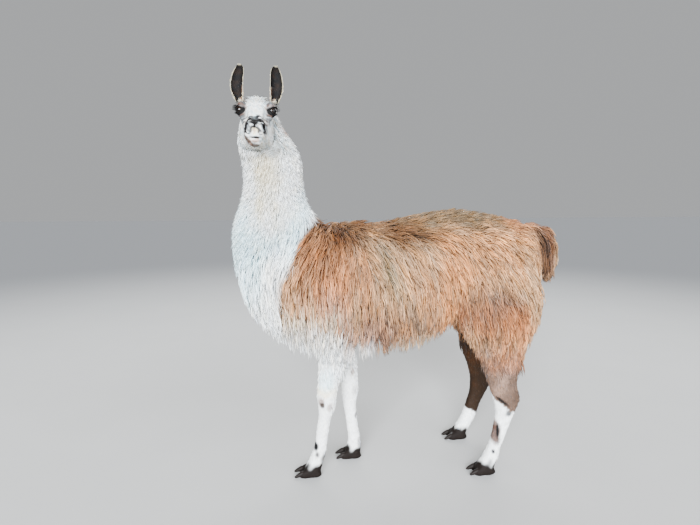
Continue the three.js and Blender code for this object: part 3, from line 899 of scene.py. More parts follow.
    def at(self, points: Array) -> Array:
        """Gives the hair's colour anywhere on the animal.

        Args:
            points: Places.

        Returns:
            Linear colours, one row for each place.
        """
        x, y, z = points.T
        side = ripple(points * [1, 0.25, 1], 0.11, 3) * 0.5 + ripple(points * [1, 0.3, 0.4], 0.03, 4) * 0.35
        colour = self._blend(CARAMEL.linear, self.flank, x, z, side)
        edge = curve(z / MM, self.bib_edge) * MM + ripple(points * [1, 0.4, 1], 0.05, 5) * 0.008
        white = self._blend(WHITE.linear, self.neck, x, z, side)
        colour += (white - colour) * (rise(0.008, -0.008, x - edge) * rise(0.44, 0.5, z))[:, None]
        colour = self._hindlegs(self._forelegs(colour, points), points)
        local = to_head(points)
        ahead = rise(0.02, 0.05, local[:, 1] + (local[:, 2] - 1.5) * 0.3)
        head = rise(1.375, 1.40, z) * np.maximum(ahead, rise(1.585, 1.60, z))
        return colour + (self._face(local) - colour) * head[:, None]

    @staticmethod
    def _blend(base: Array, rows: tuple, along: Array, height: Array, wobble: Array) -> Array:
        """Lays patches over a base colour.

        Args:
            base: The base colour, one for all or one row for each place.
            rows: The patches' numbers, the last on top.
            along: Places along the patches' first axis.
            height: Places along their second axis.
            wobble: Random shift of their edges.

        Returns:
            A colour for each place.
        """
        colour = np.zeros((len(along), 3)) + base
        for row in rows:
            patch = Patch(*row)
            colour = toward(colour, patch.hair, patch.share(along, height, wobble))
        return colour

    def _forelegs(self, colour: Array, points: Array) -> Array:
        """Whitens the forelegs, with a few dark spots and dirty toes.

        Args:
            colour: Colours so far.
            points: Places.

        Returns:
            The new colours.
        """
        x, y, z = points.T
        white = self._blend(WHITE.linear, self.foreleg, x, z, ripple(points, 0.03, 6) * 0.5)
        legs = rise(0.60, 0.54, z) * rise(-0.12, -0.16, x)
        return self._dirty(colour + (white - colour) * legs[:, None], points, 0.055, x < -0.12)

    def _hindlegs(self, colour: Array, points: Array) -> Array:
        """Colours the hindlegs: brown to the hock, white below, with brown patches on the near one.

        Args:
            colour: Colours so far.
            points: Places.

        Returns:
            The new colours.
        """
        x, y, z = points.T
        wobble = ripple(points, 0.035, 7) * 0.5
        legs = rise(0.58, 0.52, z) * rise(0.16, 0.2, x)
        near = y < 0
        brown = self._blend(MOUSE.linear, self.near_gaskin, x, z, wobble)
        dark = self._blend(OLIVE.linear, self.far_gaskin, x, z, wobble)
        top = np.where(near[:, None], brown, dark)
        line = np.where(near, 0.372 - (x - 0.357) * 0.78, 0.175 - (x - 0.374) * 0.5) + wobble * 0.02
        line = line + ripple(points, 0.008, 17) * 0.003
        wobble = wobble + ripple(points, 0.01, 18) * 0.2
        spotted = self._blend(WHITE.linear, self.near_shank, x, z, wobble)
        low = np.where(near[:, None], spotted, WHITE.linear)
        share = rise(0.008, -0.008, z - line)[:, None]
        colour = colour + ((top + (low - top) * share) - colour) * legs[:, None]
        return self._dirty(colour, points, 0.057, x > 0.15)

    @staticmethod
    def _dirty(colour: Array, points: Array, height: float, where: Array) -> Array:
        """Darkens the feet with mud, up to a height, where it can reach."""
        mud = rise(height + 0.02, height - 0.012, points[:, 2] + ripple(points, 0.02, 8) * 0.012) * where
        return toward(colour, MUD, mud)

    def _face(self, local: Array) -> Array:
        """Colours the head, in its own frame.

        Args:
            local: Places as (sideways, forward, up).

        Returns:
            A colour for each place.
        """
        s, f, z = local.T
        wobble = ripple(local, 0.012, 9) * 0.6
        a = np.abs(s)
        colour = np.zeros((len(s), 3)) + WHITE.linear
        # Streaks of painted cool shade run along the hair, with streaks of the hair's own cream between them.
        streak = ripple(local * [1, 0.25, 0.35], 0.007, 10)
        colour = toward(colour, FROST, rise(0, 0.8, streak) * 0.6, 0.6)
        colour = toward(colour, CREAM, rise(-0.1, -0.8, streak) * 0.4, 0.7)
        poll = rise(0.05, 0.03, f + wobble * 0.01 - 0.03 * rise(0.022, 0.034, a)) * rise(1.575, 1.59, z)
        colour = toward(colour, BARK, poll * 0.9)
        aside = self._blend(colour, self.cheek, f, z, wobble)
        colour += (aside - colour) * rise(0.030, 0.044, a)[:, None]
        below = np.array([0, 6, -5]) * MM
        eyes = [np.linalg.norm(local - lens.centre - below, axis=1) for lens in EYES]
        eye = np.min(eyes, axis=0) / MM + wobble * 3
        for hair, near, far, most in self.eye_ring:
            colour = toward(colour, hair, most * rise(far, near, eye))
        fine = wobble + ripple(local * [1, 0.3, 0.5], 0.0035, 19) * 0.25
        ahead = self._blend(colour, self.muzzle, s, z, fine)
        colour += (ahead - colour) * (rise(0.17, 0.2, f) * rise(0.056, 0.048, a))[:, None]
        chin = rise(1.42, 1.405, z) * rise(0.12, 0.16, f) * rise(0.03, 0.02, a)
        colour = toward(colour, MOUSE, chin * 0.6)
        for ear in EARS:
            near = np.flatnonzero((z > 1.585) & (s * ear.side > 0.03) & (f < 0.1))
            if len(near):
                colour[near] = self._ear(colour[near], local[near], ear, wobble[near])
        return colour

    @staticmethod
    def _ear(colour: Array, local: Array, ear: "Ear", wobble: Array) -> Array:
        """Colours an ear: dark hollow, grizzled back, pale rims and a blush at the root's inner edge.

        Args:
            colour: Colours so far.
            local: Places in the head's own frame.
            ear: The ear.
            wobble: Random shift of edges.

        Returns:
            The new colours.
        """
        along, across, hollow, off = ear.locate(local)
        across = across * ear.side  # 1 on the outer edge
        back = toward(MOUSE.linear, ASH, np.clip(0.5 + 0.4 * wobble, 0, 1))
        dark = toward(SOOT.linear, BARK, np.clip(0.2 + 0.6 * wobble, 0, 1))
        back += (dark - back) * rise(0.74, 0.84, along)[:, None]
        leaf = np.where(hollow[:, None], dark, back)
        inner = rise(-0.35, -0.75, across) * rise(0.5, 0.25, along) * hollow
        leaf = toward(leaf, BLUSH, inner * 0.85)
        rim = np.maximum(rise(0.89, 0.96, np.abs(across)) * rise(0.95, 0.88, along), rise(0.985, 1.0, along))
        leaf = toward(leaf, CREAM, rim * 0.9, 0.5)
        reach = np.where(hollow, 0.03, 0.012)
        share = rise(reach, reach - 0.006, off) * rise(1.592, 1.604, local[:, 2])
        return colour + (leaf - colour) * share[:, None]


def to_head(points: Array) -> Array:
    """Turns places into the head's own frame: sideways, forward, up from the floor.

    Args:
        points: Places.

    Returns:
        The same places in the head's own frame.
    """
    c, s = math.cos(HEAD_ROLL), math.sin(HEAD_ROLL)
    x, _, z = np.moveaxis(points - HEAD_PIVOT, -1, 0)
    return np.stack([x * c - z * s, -points[..., 1], x * s + z * c + HEAD_PIVOT[2]], axis=-1)


def from_head(local: Array) -> Array:
    """Turns places in the head's own frame back into the frame of the whole.

    Args:
        local: Places in the head's own frame.

    Returns:
        The same places in the frame of the whole.
    """
    c, s = math.cos(HEAD_ROLL), math.sin(HEAD_ROLL)
    side, up = local[..., 0], local[..., 2] - HEAD_PIVOT[2]
    x, z = side * c + up * s + HEAD_PIVOT[0], -side * s + up * c + HEAD_PIVOT[2]
    return np.stack([x, -local[..., 1], z], axis=-1)


def unrolled(directions: Array) -> Array:
    """Turns directions into the head's own frame."""
    return to_head(directions + HEAD_PIVOT) - to_head(HEAD_PIVOT[None])


def rolled(directions: Array) -> Array:
    """Turns directions in the head's own frame back into the frame of the whole."""
    return from_head(directions + to_head(HEAD_PIVOT[None])) - HEAD_PIVOT


# ---------------------------------------------------------------- the body's forms


@dataclass(frozen=True)
class Body:
    """Trunk, neck, thighs and tail: the skin's forms, and the outline the coat fills, in millimetres."""

    trunk_skin: Loft = Loft(
        Run.BACKWARD,
        (
            (-650, 850, 985, 0, 78), (-575, 745, 1030, 0, 138), (-470, 668, 1065, 0, 172),
            (-340, 640, 1085, 0, 195), (-215, 635, 1088, 0, 207), (-95, 640, 1083, 0, 213),
            (30, 650, 1106, 0, 217), (130, 672, 1124, 0, 214), (225, 705, 1134, 0, 206),
            (355, 760, 1120, 0, 196), (470, 800, 1094, 0, 170), (555, 850, 1066, 0, 128),
            (600, 900, 1030, 0, 70),
        ),
        2.1,
        2.2,
    )
    trunk_coat: Loft = Loft(
        Run.BACKWARD,
        (
            (-706, 850, 975, 0, 62, 2.1), (-660, 722, 1030, 0, 140, 2.2), (-575, 622, 1072, 0, 188, 2.4),
            (-470, 545, 1100, 0, 222, 2.8), (-340, 506, 1121, 0, 245, 3.2), (-215, 504, 1123, 0, 258, 3.2),
            (-95, 538, 1116, 0, 264, 3.1), (30, 556, 1140, 0, 268, 3.0), (130, 600, 1158, 0, 264, 2.8),
            (225, 672, 1170, 0, 256, 2.5), (355, 712, 1156, 0, 246, 2.2), (470, 716, 1131, 0, 222, 2.2),
            (555, 722, 1104, 0, 176, 2.1), (598, 752, 1058, 0, 122, 2.0), (618, 830, 970, 0, 58, 2.0),
        ),
        2.25,
        2.0,
    )
    neck_skin: Loft = Loft(
        Run.UPWARD,
        (
            (660, -560, -430, 0, 50), (730, -608, -430, 0, 80), (850, -646, -415, 0, 100),
            (950, -675, -402, 0, 108), (1040, -688, -396, 0, 108), (1125, -678, -410, 0, 98),
            (1205, -658, -446, -1, 86), (1290, -647, -458, -3, 80), (1370, -652, -466, -6, 78),
            (1430, -658, -490, -8, 74), (1490, -656, -529, 0, 60), (1545, -638, -558, 12, 42),
            (1572, -625, -582, 20, 22),
        ),
        2.1,
        2.1,
    )
    neck_coat: Loft = Loft(
        Run.UPWARD,
        (
            (640, -600, -400, 0, 80), (730, -668, -390, 0, 128), (850, -706, -375, 0, 158),
            (950, -730, -362, 0, 163), (1040, -738, -356, 0, 156), (1125, -724, -374, 0, 140),
            (1205, -698, -410, -1, 124), (1290, -685, -422, -3, 116), (1370, -690, -430, -6, 114),
            (1430, -694, -456, -8, 108), (1490, -690, -497, 0, 92), (1545, -668, -531, 12, 68),
            (1582, -640, -566, 20, 36),
        ),
        2.1,
        2.1,
    )
    thigh_skin: tuple = (
        (960, 360, 470, 118, 50), (905, 310, 520, 126, 75), (830, 262, 556, 134, 92),
        (735, 243, 556, 140, 88), (645, 268, 538, 144, 76), (585, 300, 522, 148, 66),
        (540, 324, 504, 151, 56),
    )
    thigh_coat: tuple = (
        (965, 330, 490, 118, 70), (905, 275, 552, 128, 108), (830, 228, 590, 138, 124),
        (735, 208, 592, 144, 120), (645, 230, 572, 148, 104), (585, 266, 545, 151, 88),
        (530, 300, 518, 152, 68), (490, 322, 500, 152, 54),
    )
    right_thigh_back: float = 34  # how much further back the far hindleg stands
    right_thigh_below: float = 830  # at which height it starts to
    tail: tuple = (  # (x, z, half its thickness, half its width), at the tips of the hair
        (540, 1072, 30, 42), (602, 1072, 37, 52), (650, 1047, 41, 57), (676, 995, 42, 57),
        (685, 935, 36, 50), (687, 884, 24, 33), (686, 846, 8, 12),
    )
    tail_core: float = 0.42  # how thick the tail itself is, of the hair's outline
    skin_step: float = 0.013  # grid spacing, in metres
    coat_step: float = 0.012

    def thighs(self, rows: tuple) -> list[Loft]:
        """Makes a left and a right thigh.

        Args:
            rows: The left thigh's sections, with y taken outwards.

        Returns:
            Two lofts.
        """
        both = []
        for side, back_shift in ((-1, 0), (1, self.right_thigh_back)):
            placed = []
            for z, front, back, y, half in rows:
                shift = back_shift if z < self.right_thigh_below else 0
                placed.append((z, front + shift, back + shift * 0.3, side * y, half))
            both.append(Loft(Run.UPWARD, tuple(placed), 2.1, 2.1))
        return both

    def tail_rods(self, share: float, stop: int) -> list[Rod]:
        """Makes the tail as a chain of rods.

        Args:
            share: Its thickness, of the hair's outline.
            stop: How many stations it has.

        Returns:
            The rods.
        """
        rods = []
        for (x0, z0, t0, h0), (x1, z1, t1, h1) in zip(self.tail[: stop - 1], self.tail[1:stop]):
            rods.append(Rod((x0, 0, z0), (x1, 0, z1), t0 * share, t1 * share, (h0 + h1) / (t0 + t1)))
        return rods

    def skin(self) -> Volume:
        """Fills a grid with the skin's forms.

        Returns:
            The grid.
        """
        volume = Volume((-0.72, -0.28, 0.48), (0.74, 0.28, 1.62), self.skin_step)
        volume.add(self.trunk_skin)
        volume.add(self.neck_skin, blend=70)
        volume.add(*self.thighs(self.thigh_skin), blend=50)
        volume.add(*self.tail_rods(self.tail_core, 6), blend=12)
        return volume

    def coat(self) -> Volume:
        """Fills a grid with the outline that the tips of the coat reach.

        Returns:
            The grid.
        """
        volume = Volume((-0.80, -0.34, 0.42), (0.80, 0.34, 1.68), self.coat_step)
        volume.add(self.trunk_coat)
        volume.add(self.neck_coat, blend=30)
        volume.add(*self.thighs(self.thigh_coat), blend=24)
        volume.add(*self.tail_rods(1.0, 7), blend=14)
        return volume


@dataclass(frozen=True)
class Leg:
    """One leg from inside the body down to two toes. Sizes are in millimetres."""

    name: str
    rows: tuple  # (z, front, back, y outwards, half), at the tips of its short hair
    side: int
    top_row: tuple
    hair: tuple = ((0, 1.5), (60, 2), (300, 2.5), (450, 6), (600, 10))  # (z, depth of the hair)
    toe: tuple = ((0, 22, 3, 11), (16, 38, -6, 17), (48, 44, -6, 18), (76, 34, -6, 16), (94, 20, 2, 9))
    toe_spacing: float = 17
    toe_splay: float = math.radians(4)
    step: float = 0.0052  # grid spacing, in metres

    def lane(self, lane: int, forward: float) -> tuple[float, float]:
        """Finds the middle of a toe.

        Args:
            lane: -1 or 1, which of the two toes.
            forward: How far in front of the heel.

        Returns:
            Its x and y.
        """
        heel = self.rows[-1][2] - 4
        outward = self.side * self.rows[-1][3]
        c, s = math.cos(-lane * self.toe_splay), math.sin(-lane * self.toe_splay)
        a, b = -forward, lane * self.toe_spacing
        return heel + a * c - b * s, outward + a * s + b * c

    def toes(self, sections: tuple, shrink: float) -> list[Loft]:
        """Makes the two toes, or the nails on them.

        Args:
            sections: Rows of (forward, top, bottom, half).
            shrink: How much thinner than the sections.

        Returns:
            Two lofts.
        """
        made = []
        for lane in (-1, 1):
            rows = []
            for forward, top, bottom, half in sections:
                x, y = self.lane(lane, forward)
                rows.append((x, bottom + (0 if bottom < 0 else shrink), top - shrink, y, half - shrink))
            made.append(Loft(Run.BACKWARD, tuple(sorted(rows)), 2.3, 2.3))
        return made

    def skin(self) -> Volume:
        """Fills a grid with the leg, cut flat at the floor.

        Returns:
            The grid.
        """
        depths = curve(np.array([row[0] for row in self.rows]), self.hair)
        rows = tuple((z, front + depth, back - depth, self.side * y, half - depth)
                     for (z, front, back, y, half), depth in zip(self.rows, depths))
        z, front, back, y, half = self.top_row
        leg = Loft(Run.UPWARD, ((z, front, back, self.side * y, half),) + rows, 2.2, 2.2)
        low, high = leg.box()
        volume = Volume((low[0] - 0.03, low[1] - 0.03, -0.009), tuple(high + [0.03, 0.03, 0.008]), self.step)
        volume.add(leg)
        volume.add(*self.toes(self.toe, 1.5), blend=9)
        foot = self.rows[-1]
        volume.add(*(Ball((*self.lane(lane, 30), 10), (34, 17, 12)) for lane in (-1, 1)), blend=6)
        cleft_x, cleft_y = foot[2] - 70, self.side * foot[3]
        volume.cut(Rod((cleft_x - 40, cleft_y, 30), (cleft_x, cleft_y, 10), 3.2, 3.0), blend=5)
        slices, at = volume.block(np.array(volume.low), np.array(volume.high))
        volume.value[slices] = np.maximum(volume.value[slices], -at[2])
        return volume


FORE_LEFT = Leg(
    "foreleg_left",
    (
        (660, -372, -236, 100, 56), (560, -374, -252, 96, 54), (490, -378, -266, 90, 50),
        (425, -384, -285, 84, 44), (382, -388, -294, 79, 43), (350, -386, -298, 76, 43),
        (315, -381, -303, 74, 39), (275, -379, -318, 72, 32), (215, -387, -331, 71, 27),
        (155, -394, -339, 70, 27), (110, -405, -345, 70, 29), (75, -420, -353, 70, 32),
        (42, -436, -362, 70, 32), (22, -446, -368, 70, 30),
    ),
    -1,
    (740, -356, -250, 104, 44),
)
FORE_RIGHT = Leg(
    "foreleg_right",
    (
        (660, -330, -196, 100, 56), (560, -318, -198, 97, 54), (490, -302, -192, 92, 50),
        (420, -281, -184, 86, 44), (375, -272, -180, 81, 43), (340, -266, -179, 78, 43),
        (305, -261, -184, 76, 39), (265, -255, -191, 74, 32), (210, -245, -188, 72, 27),
        (150, -237, -182, 71, 27), (108, -232, -174, 70, 29), (75, -233, -168, 70, 32),
        (42, -241, -168, 70, 32), (22, -246, -170, 70, 30),
    ),
    1,
    (740, -326, -214, 104, 44),
)
HIND_LEFT = Leg(
    "hindleg_left",
    (
        (560, 330, 500, 152, 62), (500, 326, 508, 152, 58), (455, 340, 494, 152, 49),
        (410, 356, 490, 151, 42), (370, 371, 500, 150, 40), (342, 382, 506, 150, 40),
        (310, 391, 498, 150, 38), (275, 396, 482, 150, 33), (225, 391, 464, 150, 28),
        (165, 380, 444, 150, 27), (110, 361, 424, 150, 28), (75, 343, 416, 150, 32), (40, 318, 404, 150, 32),
        (22, 305, 398, 150, 30),
    ),
    -1,
    (620, 322, 492, 150, 56),
)
HIND_RIGHT = Leg(
    "hindleg_right",
    (
        (560, 330, 500, 158, 62), (500, 338, 504, 163, 58), (455, 354, 498, 168, 49),
        (405, 374, 500, 173, 42), (360, 390, 508, 177, 40), (322, 400, 513, 181, 40),
        (285, 403, 506, 184, 38), (245, 402, 489, 186, 33), (200, 391, 468, 188, 29),
        (145, 374, 448, 189, 28), (100, 356, 430, 189, 30), (70, 338, 414, 189, 32), (40, 314, 398, 189, 32),
        (22, 300, 390, 189, 30),
    ),
    1,
    (620, 330, 496, 152, 56),
)
LEGS = (FORE_LEFT, FORE_RIGHT, HIND_LEFT, HIND_RIGHT)


@dataclass(frozen=True)
class Eye:
    """One eyeball with its lids. Places are in the head's own frame, in millimetres."""

    side: int
    radius: float = 18.0
    aside: float = 60.0
    forward: float = 131.0
    height: float = 1552.0
    gaze: tuple[float, float, float] = (0.82, 0.86, -0.06)  # which way it looks: outwards, forward, up
    opening: tuple[float, float] = (17.8, 12.5)  # half length and half height between the lids
    slant: float = math.radians(14)  # the outer corner stands higher
    bulge: float = 0.045  # how far the cornea stands out, of the radius
    turns: int = 48
    steps: int = 40

    @property
    def centre(self) -> Array:
        """Its middle."""
        return np.array([self.side * self.aside, self.forward, self.height]) * MM

    def axes(self) -> Array:
        """Gives its own directions.

        Returns:
            Along the lids, across them, and out of the eye.
        """
        out = unit(np.array(self.gaze) * [self.side, 1, 1])
        back = unit(np.cross([0, 0, 1.0], out)) * self.side
        up = np.cross(out, back) * (1 if np.cross(out, back)[2] > 0 else -1)
        along = back * math.cos(self.slant) + up * math.sin(self.slant)
        across = unit(np.cross(out, along))
        return np.stack([along, across * (1 if across[2] > 0 else -1), out])

    def build(self) -> Piece:
        """Turns a fine ball with a bulge for the cornea, and notes each point's angle off the gaze.

        Returns:
            The eyeball.
        """
        turns, steps = self.turns, self.steps
        angle = np.linspace(0, math.pi, steps + 1)[1:-1]
        around = np.linspace(0, 2 * math.pi, turns, endpoint=False)
        reach = self.radius * MM * (1 + self.bulge * rise(0.75, 0.1, angle))
        out, up = (np.sin(angle) * reach)[:, None], (np.cos(angle) * reach)[:, None]
        ball = np.stack([out * np.cos(around), out * np.sin(around), np.repeat(up, turns, 1)], -1)
        poles = np.array([[0, 0, self.radius * MM * (1 + self.bulge)], [0, 0, -self.radius * MM]])
        points = np.concatenate([ball.reshape(-1, 3), poles]) @ self.axes() + self.centre
        name = "eyeball_left" if self.side > 0 else "eyeball_right"
        ball = face_outwards(make_object(name, from_head(points), *capped_tube(steps - 1, turns)))
        gaze = np.concatenate([np.repeat(angle, turns), [0, math.pi]]) / (math.pi / 2)
        layer = ball.data.attributes.new("gaze", "FLOAT", "POINT")
        layer.data.foreach_set("value", gaze.astype(np.float32))
        return ball


@dataclass(frozen=True)
class Ear:
    """A cupped leaf that leans out and back in. Places are in the head's own frame, in millimetres."""

    side: int
    length: float = 158
    width: float = 52
    thickness: float = 4.2
    aside: float = 68
    forward: float = 32
    height: float = 1596
    opens: float = 0.28  # how far the hollow turns outwards, in radians
    bend: float = 13  # how far its middle leans out
    rows: int = 26
    columns: int = 15
    shape: tuple = (  # (share of its length, share of its width, half angle of its cup)
        (0, 0.5, 2.2), (0.15, 0.76, 1.9), (0.4, 1, 1.45), (0.65, 0.98, 1.3), (0.82, 0.84, 1.2),
        (0.93, 0.58, 1.1), (1, 0.2, 1),
    )

    def surface(self, t: Array, a: Array, off: float) -> Array:
        """Finds points of the leaf.

        Args:
            t: Share of the length, from the root.
            a: Share across, from -1 to 1.
            off: Distance out of the leaf's middle, in millimetres.

        Returns:
            Places in the head's own frame.
        """
        wide, cup = curve(t, self.shape, 1), curve(t, self.shape, 2)
        radius = self.width / 2 * wide / np.sin(np.minimum(cup, math.pi / 2))
        lean = self.side * (self.bend * np.sin(math.pi * np.minimum(t * 1.1, 1)) + 4 * t)
        thin = off * (1 - 0.6 * rise(0.5, 1, np.abs(a))) * (1 - 0.5 * t)
        across, deep = np.sin(a * cup) * (radius + thin), (np.cos(a * cup) - np.cos(cup)) * (radius + thin)
        c, s = math.cos(self.side * self.opens), math.sin(self.side * self.opens)
        x = self.side * self.aside + lean + across * c - deep * s
        y = 14 * t - self.forward + across * s + deep * c
        return np.stack([x, -y, self.height + self.length * t - 6], axis=-1) * MM

    def locate(self, local: Array) -> tuple[Array, Array, Array, Array]:
        """Finds the nearest place on the leaf.

        Args:
            local: Places in the head's own frame.

        Returns:
            Share of the length, share across, whether it is on the hollow side, and how far off.
        """
        net = np.meshgrid(np.linspace(0, 1, 44), np.linspace(-1, 1, 29), [1.0, -1.0], indexing="ij")
        t, a, side = (m.ravel() for m in net)
        index, off = nearest(self.surface(t, a, side * self.thickness / 2), local)
        return t[index], a[index], side[index] < 0, off

    def build(self) -> Pair:
        """Makes the closed shell of the leaf.

        Returns:
            Points in the head's own frame, and four-sided faces.
        """
        rows, columns = self.rows, self.columns
        t, a = np.meshgrid(np.linspace(-0.06, 1, rows), np.linspace(-1, 1, columns), indexing="ij")
        half = self.thickness / 2
        outer, inner = (self.surface(np.clip(t, 0, 1), a, off) for off in (half, -half))
        sunk = np.minimum(t, 0)[..., None] * self.length * MM * np.array([0.0, 0.2, 1.0])
        points = np.concatenate([outer + sunk, (inner + sunk)[:, ::-1]], axis=1)
        grid = np.arange(rows * 2 * columns).reshape(rows, 2 * columns)
        faces = [walls(grid)]
        for ring, order in ((grid[0], 1), (grid[-1], -1)):
            near, far = ring[:columns], ring[::-1][:columns]
            strip = np.stack([near[:-1], near[1:], far[1:], far[:-1]], -1)
            faces.append(strip[:, ::-order])
        return points.reshape(-1, 3), np.concatenate(faces)


EYES = (Eye(1), Eye(-1))
EARS = (Ear(1, bend=7), Ear(-1))


@dataclass(frozen=True)
class Head:
    """Skull, jaw, muzzle and lids, in the head's own frame: sideways, forward, up, in millimetres."""

    skull: Loft = Loft(
        Run.FORWARD,
        (
            (-26, 1500, 1568, 0, 30), (-5, 1446, 1594, 0, 52), (40, 1415, 1607, 0, 59),
            (85, 1410, 1600, 0, 61), (128, 1411, 1583, 0, 60), (165, 1414, 1551, 0, 49),
            (205, 1418, 1521, 0, 40.5), (242, 1422, 1502, 0, 36.5), (264, 1428, 1490, 0, 33),
            (274, 1440, 1478, 0, 22),
        ),
        2.5,
        2.5,
    )
    mouth_height: float = 1436
    mouth_back: float = 196
    step: float = 0.00225  # grid spacing, in metres

    def skin(self) -> Volume:
        """Fills a grid with the head, its folds and its lids.

        Returns:
            The grid.
        """
        volume = Volume((-0.098, -0.045, 1.385), (0.098, 0.302, 1.632), self.step)
        volume.add(self.skull)
        for side in (-1, 1):
            volume.add(Ball((side * 44, 62, 1455), (22, 52, 44)), blend=18)  # cheek
            volume.add(Rod((side * 56, 140, 1534), (side * 36, 208, 1487), 9, 7), blend=14)  # cheekbone
            volume.add(Ball((side * 55, 118, 1576), (15, 30, 10)), blend=14)  # brow
            volume.add(Rod((side * 22, 150, 1556), (side * 17, 238, 1497), 9, 6), blend=12)  # nasal bone
            volume.add(Ball((side * 27, 258, 1478), (11, 16, 15)), blend=7)  # nostril wing
            volume.add(Ball((side * 14, 266, 1455), (14, 13, 14)), blend=6)  # half of the upper lip
            volume.add(Rod((side * 26, 262, 1452), (side * 34, 214, 1444), 9, 8), blend=8)  # lip's side
            volume.add(Rod((side * 62, 30, 1588), (side * 67, 24, 1600), 15, 9), blend=10)  # base of the ear
        volume.add(Ball((0, 253, 1429), (18, 19, 9)), blend=8)  # lower lip
        volume.add(Ball((0, 236, 1419), (21, 22, 12)), blend=8)  # chin
        for eye in EYES:
            self._lids(volume, eye)
        slices, at = volume.block((-0.06, 0.18, 1.39), (0.06, 0.3, 1.52))
        volume.value[slices] += self._folds(at)
        for side in (-1, 1):
            volume.cut(Rod((side * 27, 262, 1497), (side * 36, 268, 1477), 2.4, 5.2), blend=3)
            volume.cut(Rod((side * 36, 268, 1477), (side * 34, 270, 1458), 5.2, 2.2), blend=3)
            volume.cut(Rod((side * 22, 250, 1482), (side * 36, 270, 1476), 4, 5), blend=3)
        return volume

    def _lids(self, volume: Volume, eye: Eye) -> None:
        """Wraps lids round an eyeball and opens them.

        Args:
            volume: The head's grid.
            eye: The eye.
        """
        centre = tuple(eye.centre / MM)
        volume.add(Ball(centre, (eye.radius + 3.6,) * 3), blend=9)
        along, across, out = eye.axes()
        low, high = eye.centre - 0.034, eye.centre + 0.034
        slices, at = volume.block(low, high)
        p = [at[k] - eye.centre[k] for k in range(3)]
        u, v, w = (sum(p[k] * axis[k] for k in range(3)) for axis in (along, across, out))
        reach = np.sqrt(u * u + v * v + w * w)
        wide, tall = np.array(eye.opening) * MM
        bow = 1 - (u / wide) ** 2
        lid = np.where(v > 0, tall * 1.05, tall * 0.85) * bow
        hole = np.maximum(np.abs(v) - lid, 0.004 - w) * 0.8
        socket = reach - (eye.radius + 0.25) * MM
        value = volume.value[slices]
        fold = np.exp(-(((v - 0.0135 * np.sqrt(np.clip(bow, 0, 1))) / 0.0022) ** 2))
        crease = 0.0016 * fold * (w > 0.004) * (np.abs(u) < 0.019)
        value = carve(value + crease, hole, 0.0022)
        volume.value[slices] = np.maximum(value, -socket)

    def _folds(self, at: Coordinates) -> Array:
        """Presses in the mouth line, the groove of the upper lip and the corners of the mouth.

        Args:
            at: Sideways, forward and up.

        Returns:
            Depth.
        """
        s, f, z = (c / MM for c in at)
        line = self.mouth_height + 3 * rise(24, 8, np.abs(s)) - 6 * rise(252, 200, f)
        mouth = 4.2 * np.exp(-(((z - line) / 2.4) ** 2)) * rise(self.mouth_back, self.mouth_back + 14, f)
        lip = rise(1444, 1450, z) * rise(1482, 1474, z) * rise(250, 262, f)
        groove = 3.0 * np.exp(-((s / 2.3) ** 2)) * lip
        return (mouth + groove) * MM


# ---------------------------------------------------------------- skin


@dataclass
class Skin:
    """One closed skin over the whole animal, and the triangles that the coat grows from."""

    body: Body = field(default_factory=Body)
    head: Head = field(default_factory=Head)
    legs: tuple = LEGS
    corners: Optional[Array] = None  # the three corner places of each triangle
    normals: Optional[Array] = None  # the three corner normals of each triangle

    def build(self, markings: Markings) -> Piece:
        """Meshes the forms, joins them into one closed surface and paints it.

        Args:
            markings: Where each colour grows.

        Returns:
            The skin.
        """
        shells = [self._shell("body_shell", *self.body.skin().surface())]
        points, quads = self.head.skin().surface()
        shells.append(self._shell("head_shell", from_head(points), quads))
        for leg in self.legs:
            shells.append(self._shell(leg.name + "_shell", *leg.skin().surface()))
        for ear in EARS:
            points, quads = ear.build()
            shells.append(self._shell("ear_shell", from_head(points), quads))
        piece = self._united(shells)
        points, corners = read_mesh(piece.data)
        normals = np.zeros(points.size)
        piece.data.vertex_normals.foreach_get("vector", normals)
        normals = normals.reshape(-1, 3)
        self.corners, self.normals = points[corners], normals[corners]
        paint(piece, markings.at(points))
        return piece

    @staticmethod
    def _shell(name: str, points: Array, quads: Array) -> Piece:
        """Makes a closed shell from points and four-sided faces."""
        return face_outwards(make_object(name, points, quads.ravel(), np.full(len(quads), 4)))

    @staticmethod
    def _united(shells: list[Piece]) -> Piece:
        """Joins closed shells into one.

        Args:
            shells: The shells; they are used up.

        Returns:
            One object.
        """
        first = shells[0]
        for shell in shells[1:]:
            joint = first.modifiers.new("join", "BOOLEAN")
            joint.operation, joint.solver, joint.object = "UNION", "MANIFOLD", shell
        graph = bpy.context.evaluated_depsgraph_get()
        mesh = bpy.data.meshes.new_from_object(first.evaluated_get(graph))
        for shell in shells:
            bpy.data.objects.remove(shell)
        mesh.name = "skin"
        mesh.polygons.foreach_set("use_smooth", np.ones(len(mesh.polygons), bool))
        united = bpy.data.objects.new("skin", mesh)
        bpy.context.scene.collection.objects.link(united)
        return united

    def roots(self, count: int, share: Callable[[Array, Array], Array], seed: int) -> Pair:
        """Scatters points over the skin.

        Args:
            count: How many.
            share: Gives how densely they stand, from triangle middles and normals.
            seed: Which scatter.

        Returns:
            Places and outward directions.
        """
        random = seeded(seed)
        a, b, c = (self.corners[:, k] for k in range(3))
        area = np.linalg.norm(np.cross(b - a, c - a), axis=1)
        total = np.cumsum(area * share(self.corners.mean(1), unit(self.normals.mean(1))))
        even = (np.arange(count) + random.uniform(0, 1, count)) / count * total[-1]
        which = np.minimum(np.searchsorted(total, even), len(total) - 1)
        u, v = random.uniform(0, 1, (2, count))
        fold = u + v > 1
        u, v = np.where(fold, 1 - u, u)[:, None], np.where(fold, 1 - v, v)[:, None]
        mixed = [rows[which, 0] * (1 - u - v) + rows[which, 1] * u + rows[which, 2] * v
                 for rows in (self.corners, self.normals)]
        return mixed[0], unit(mixed[1])


# ---------------------------------------------------------------- coat


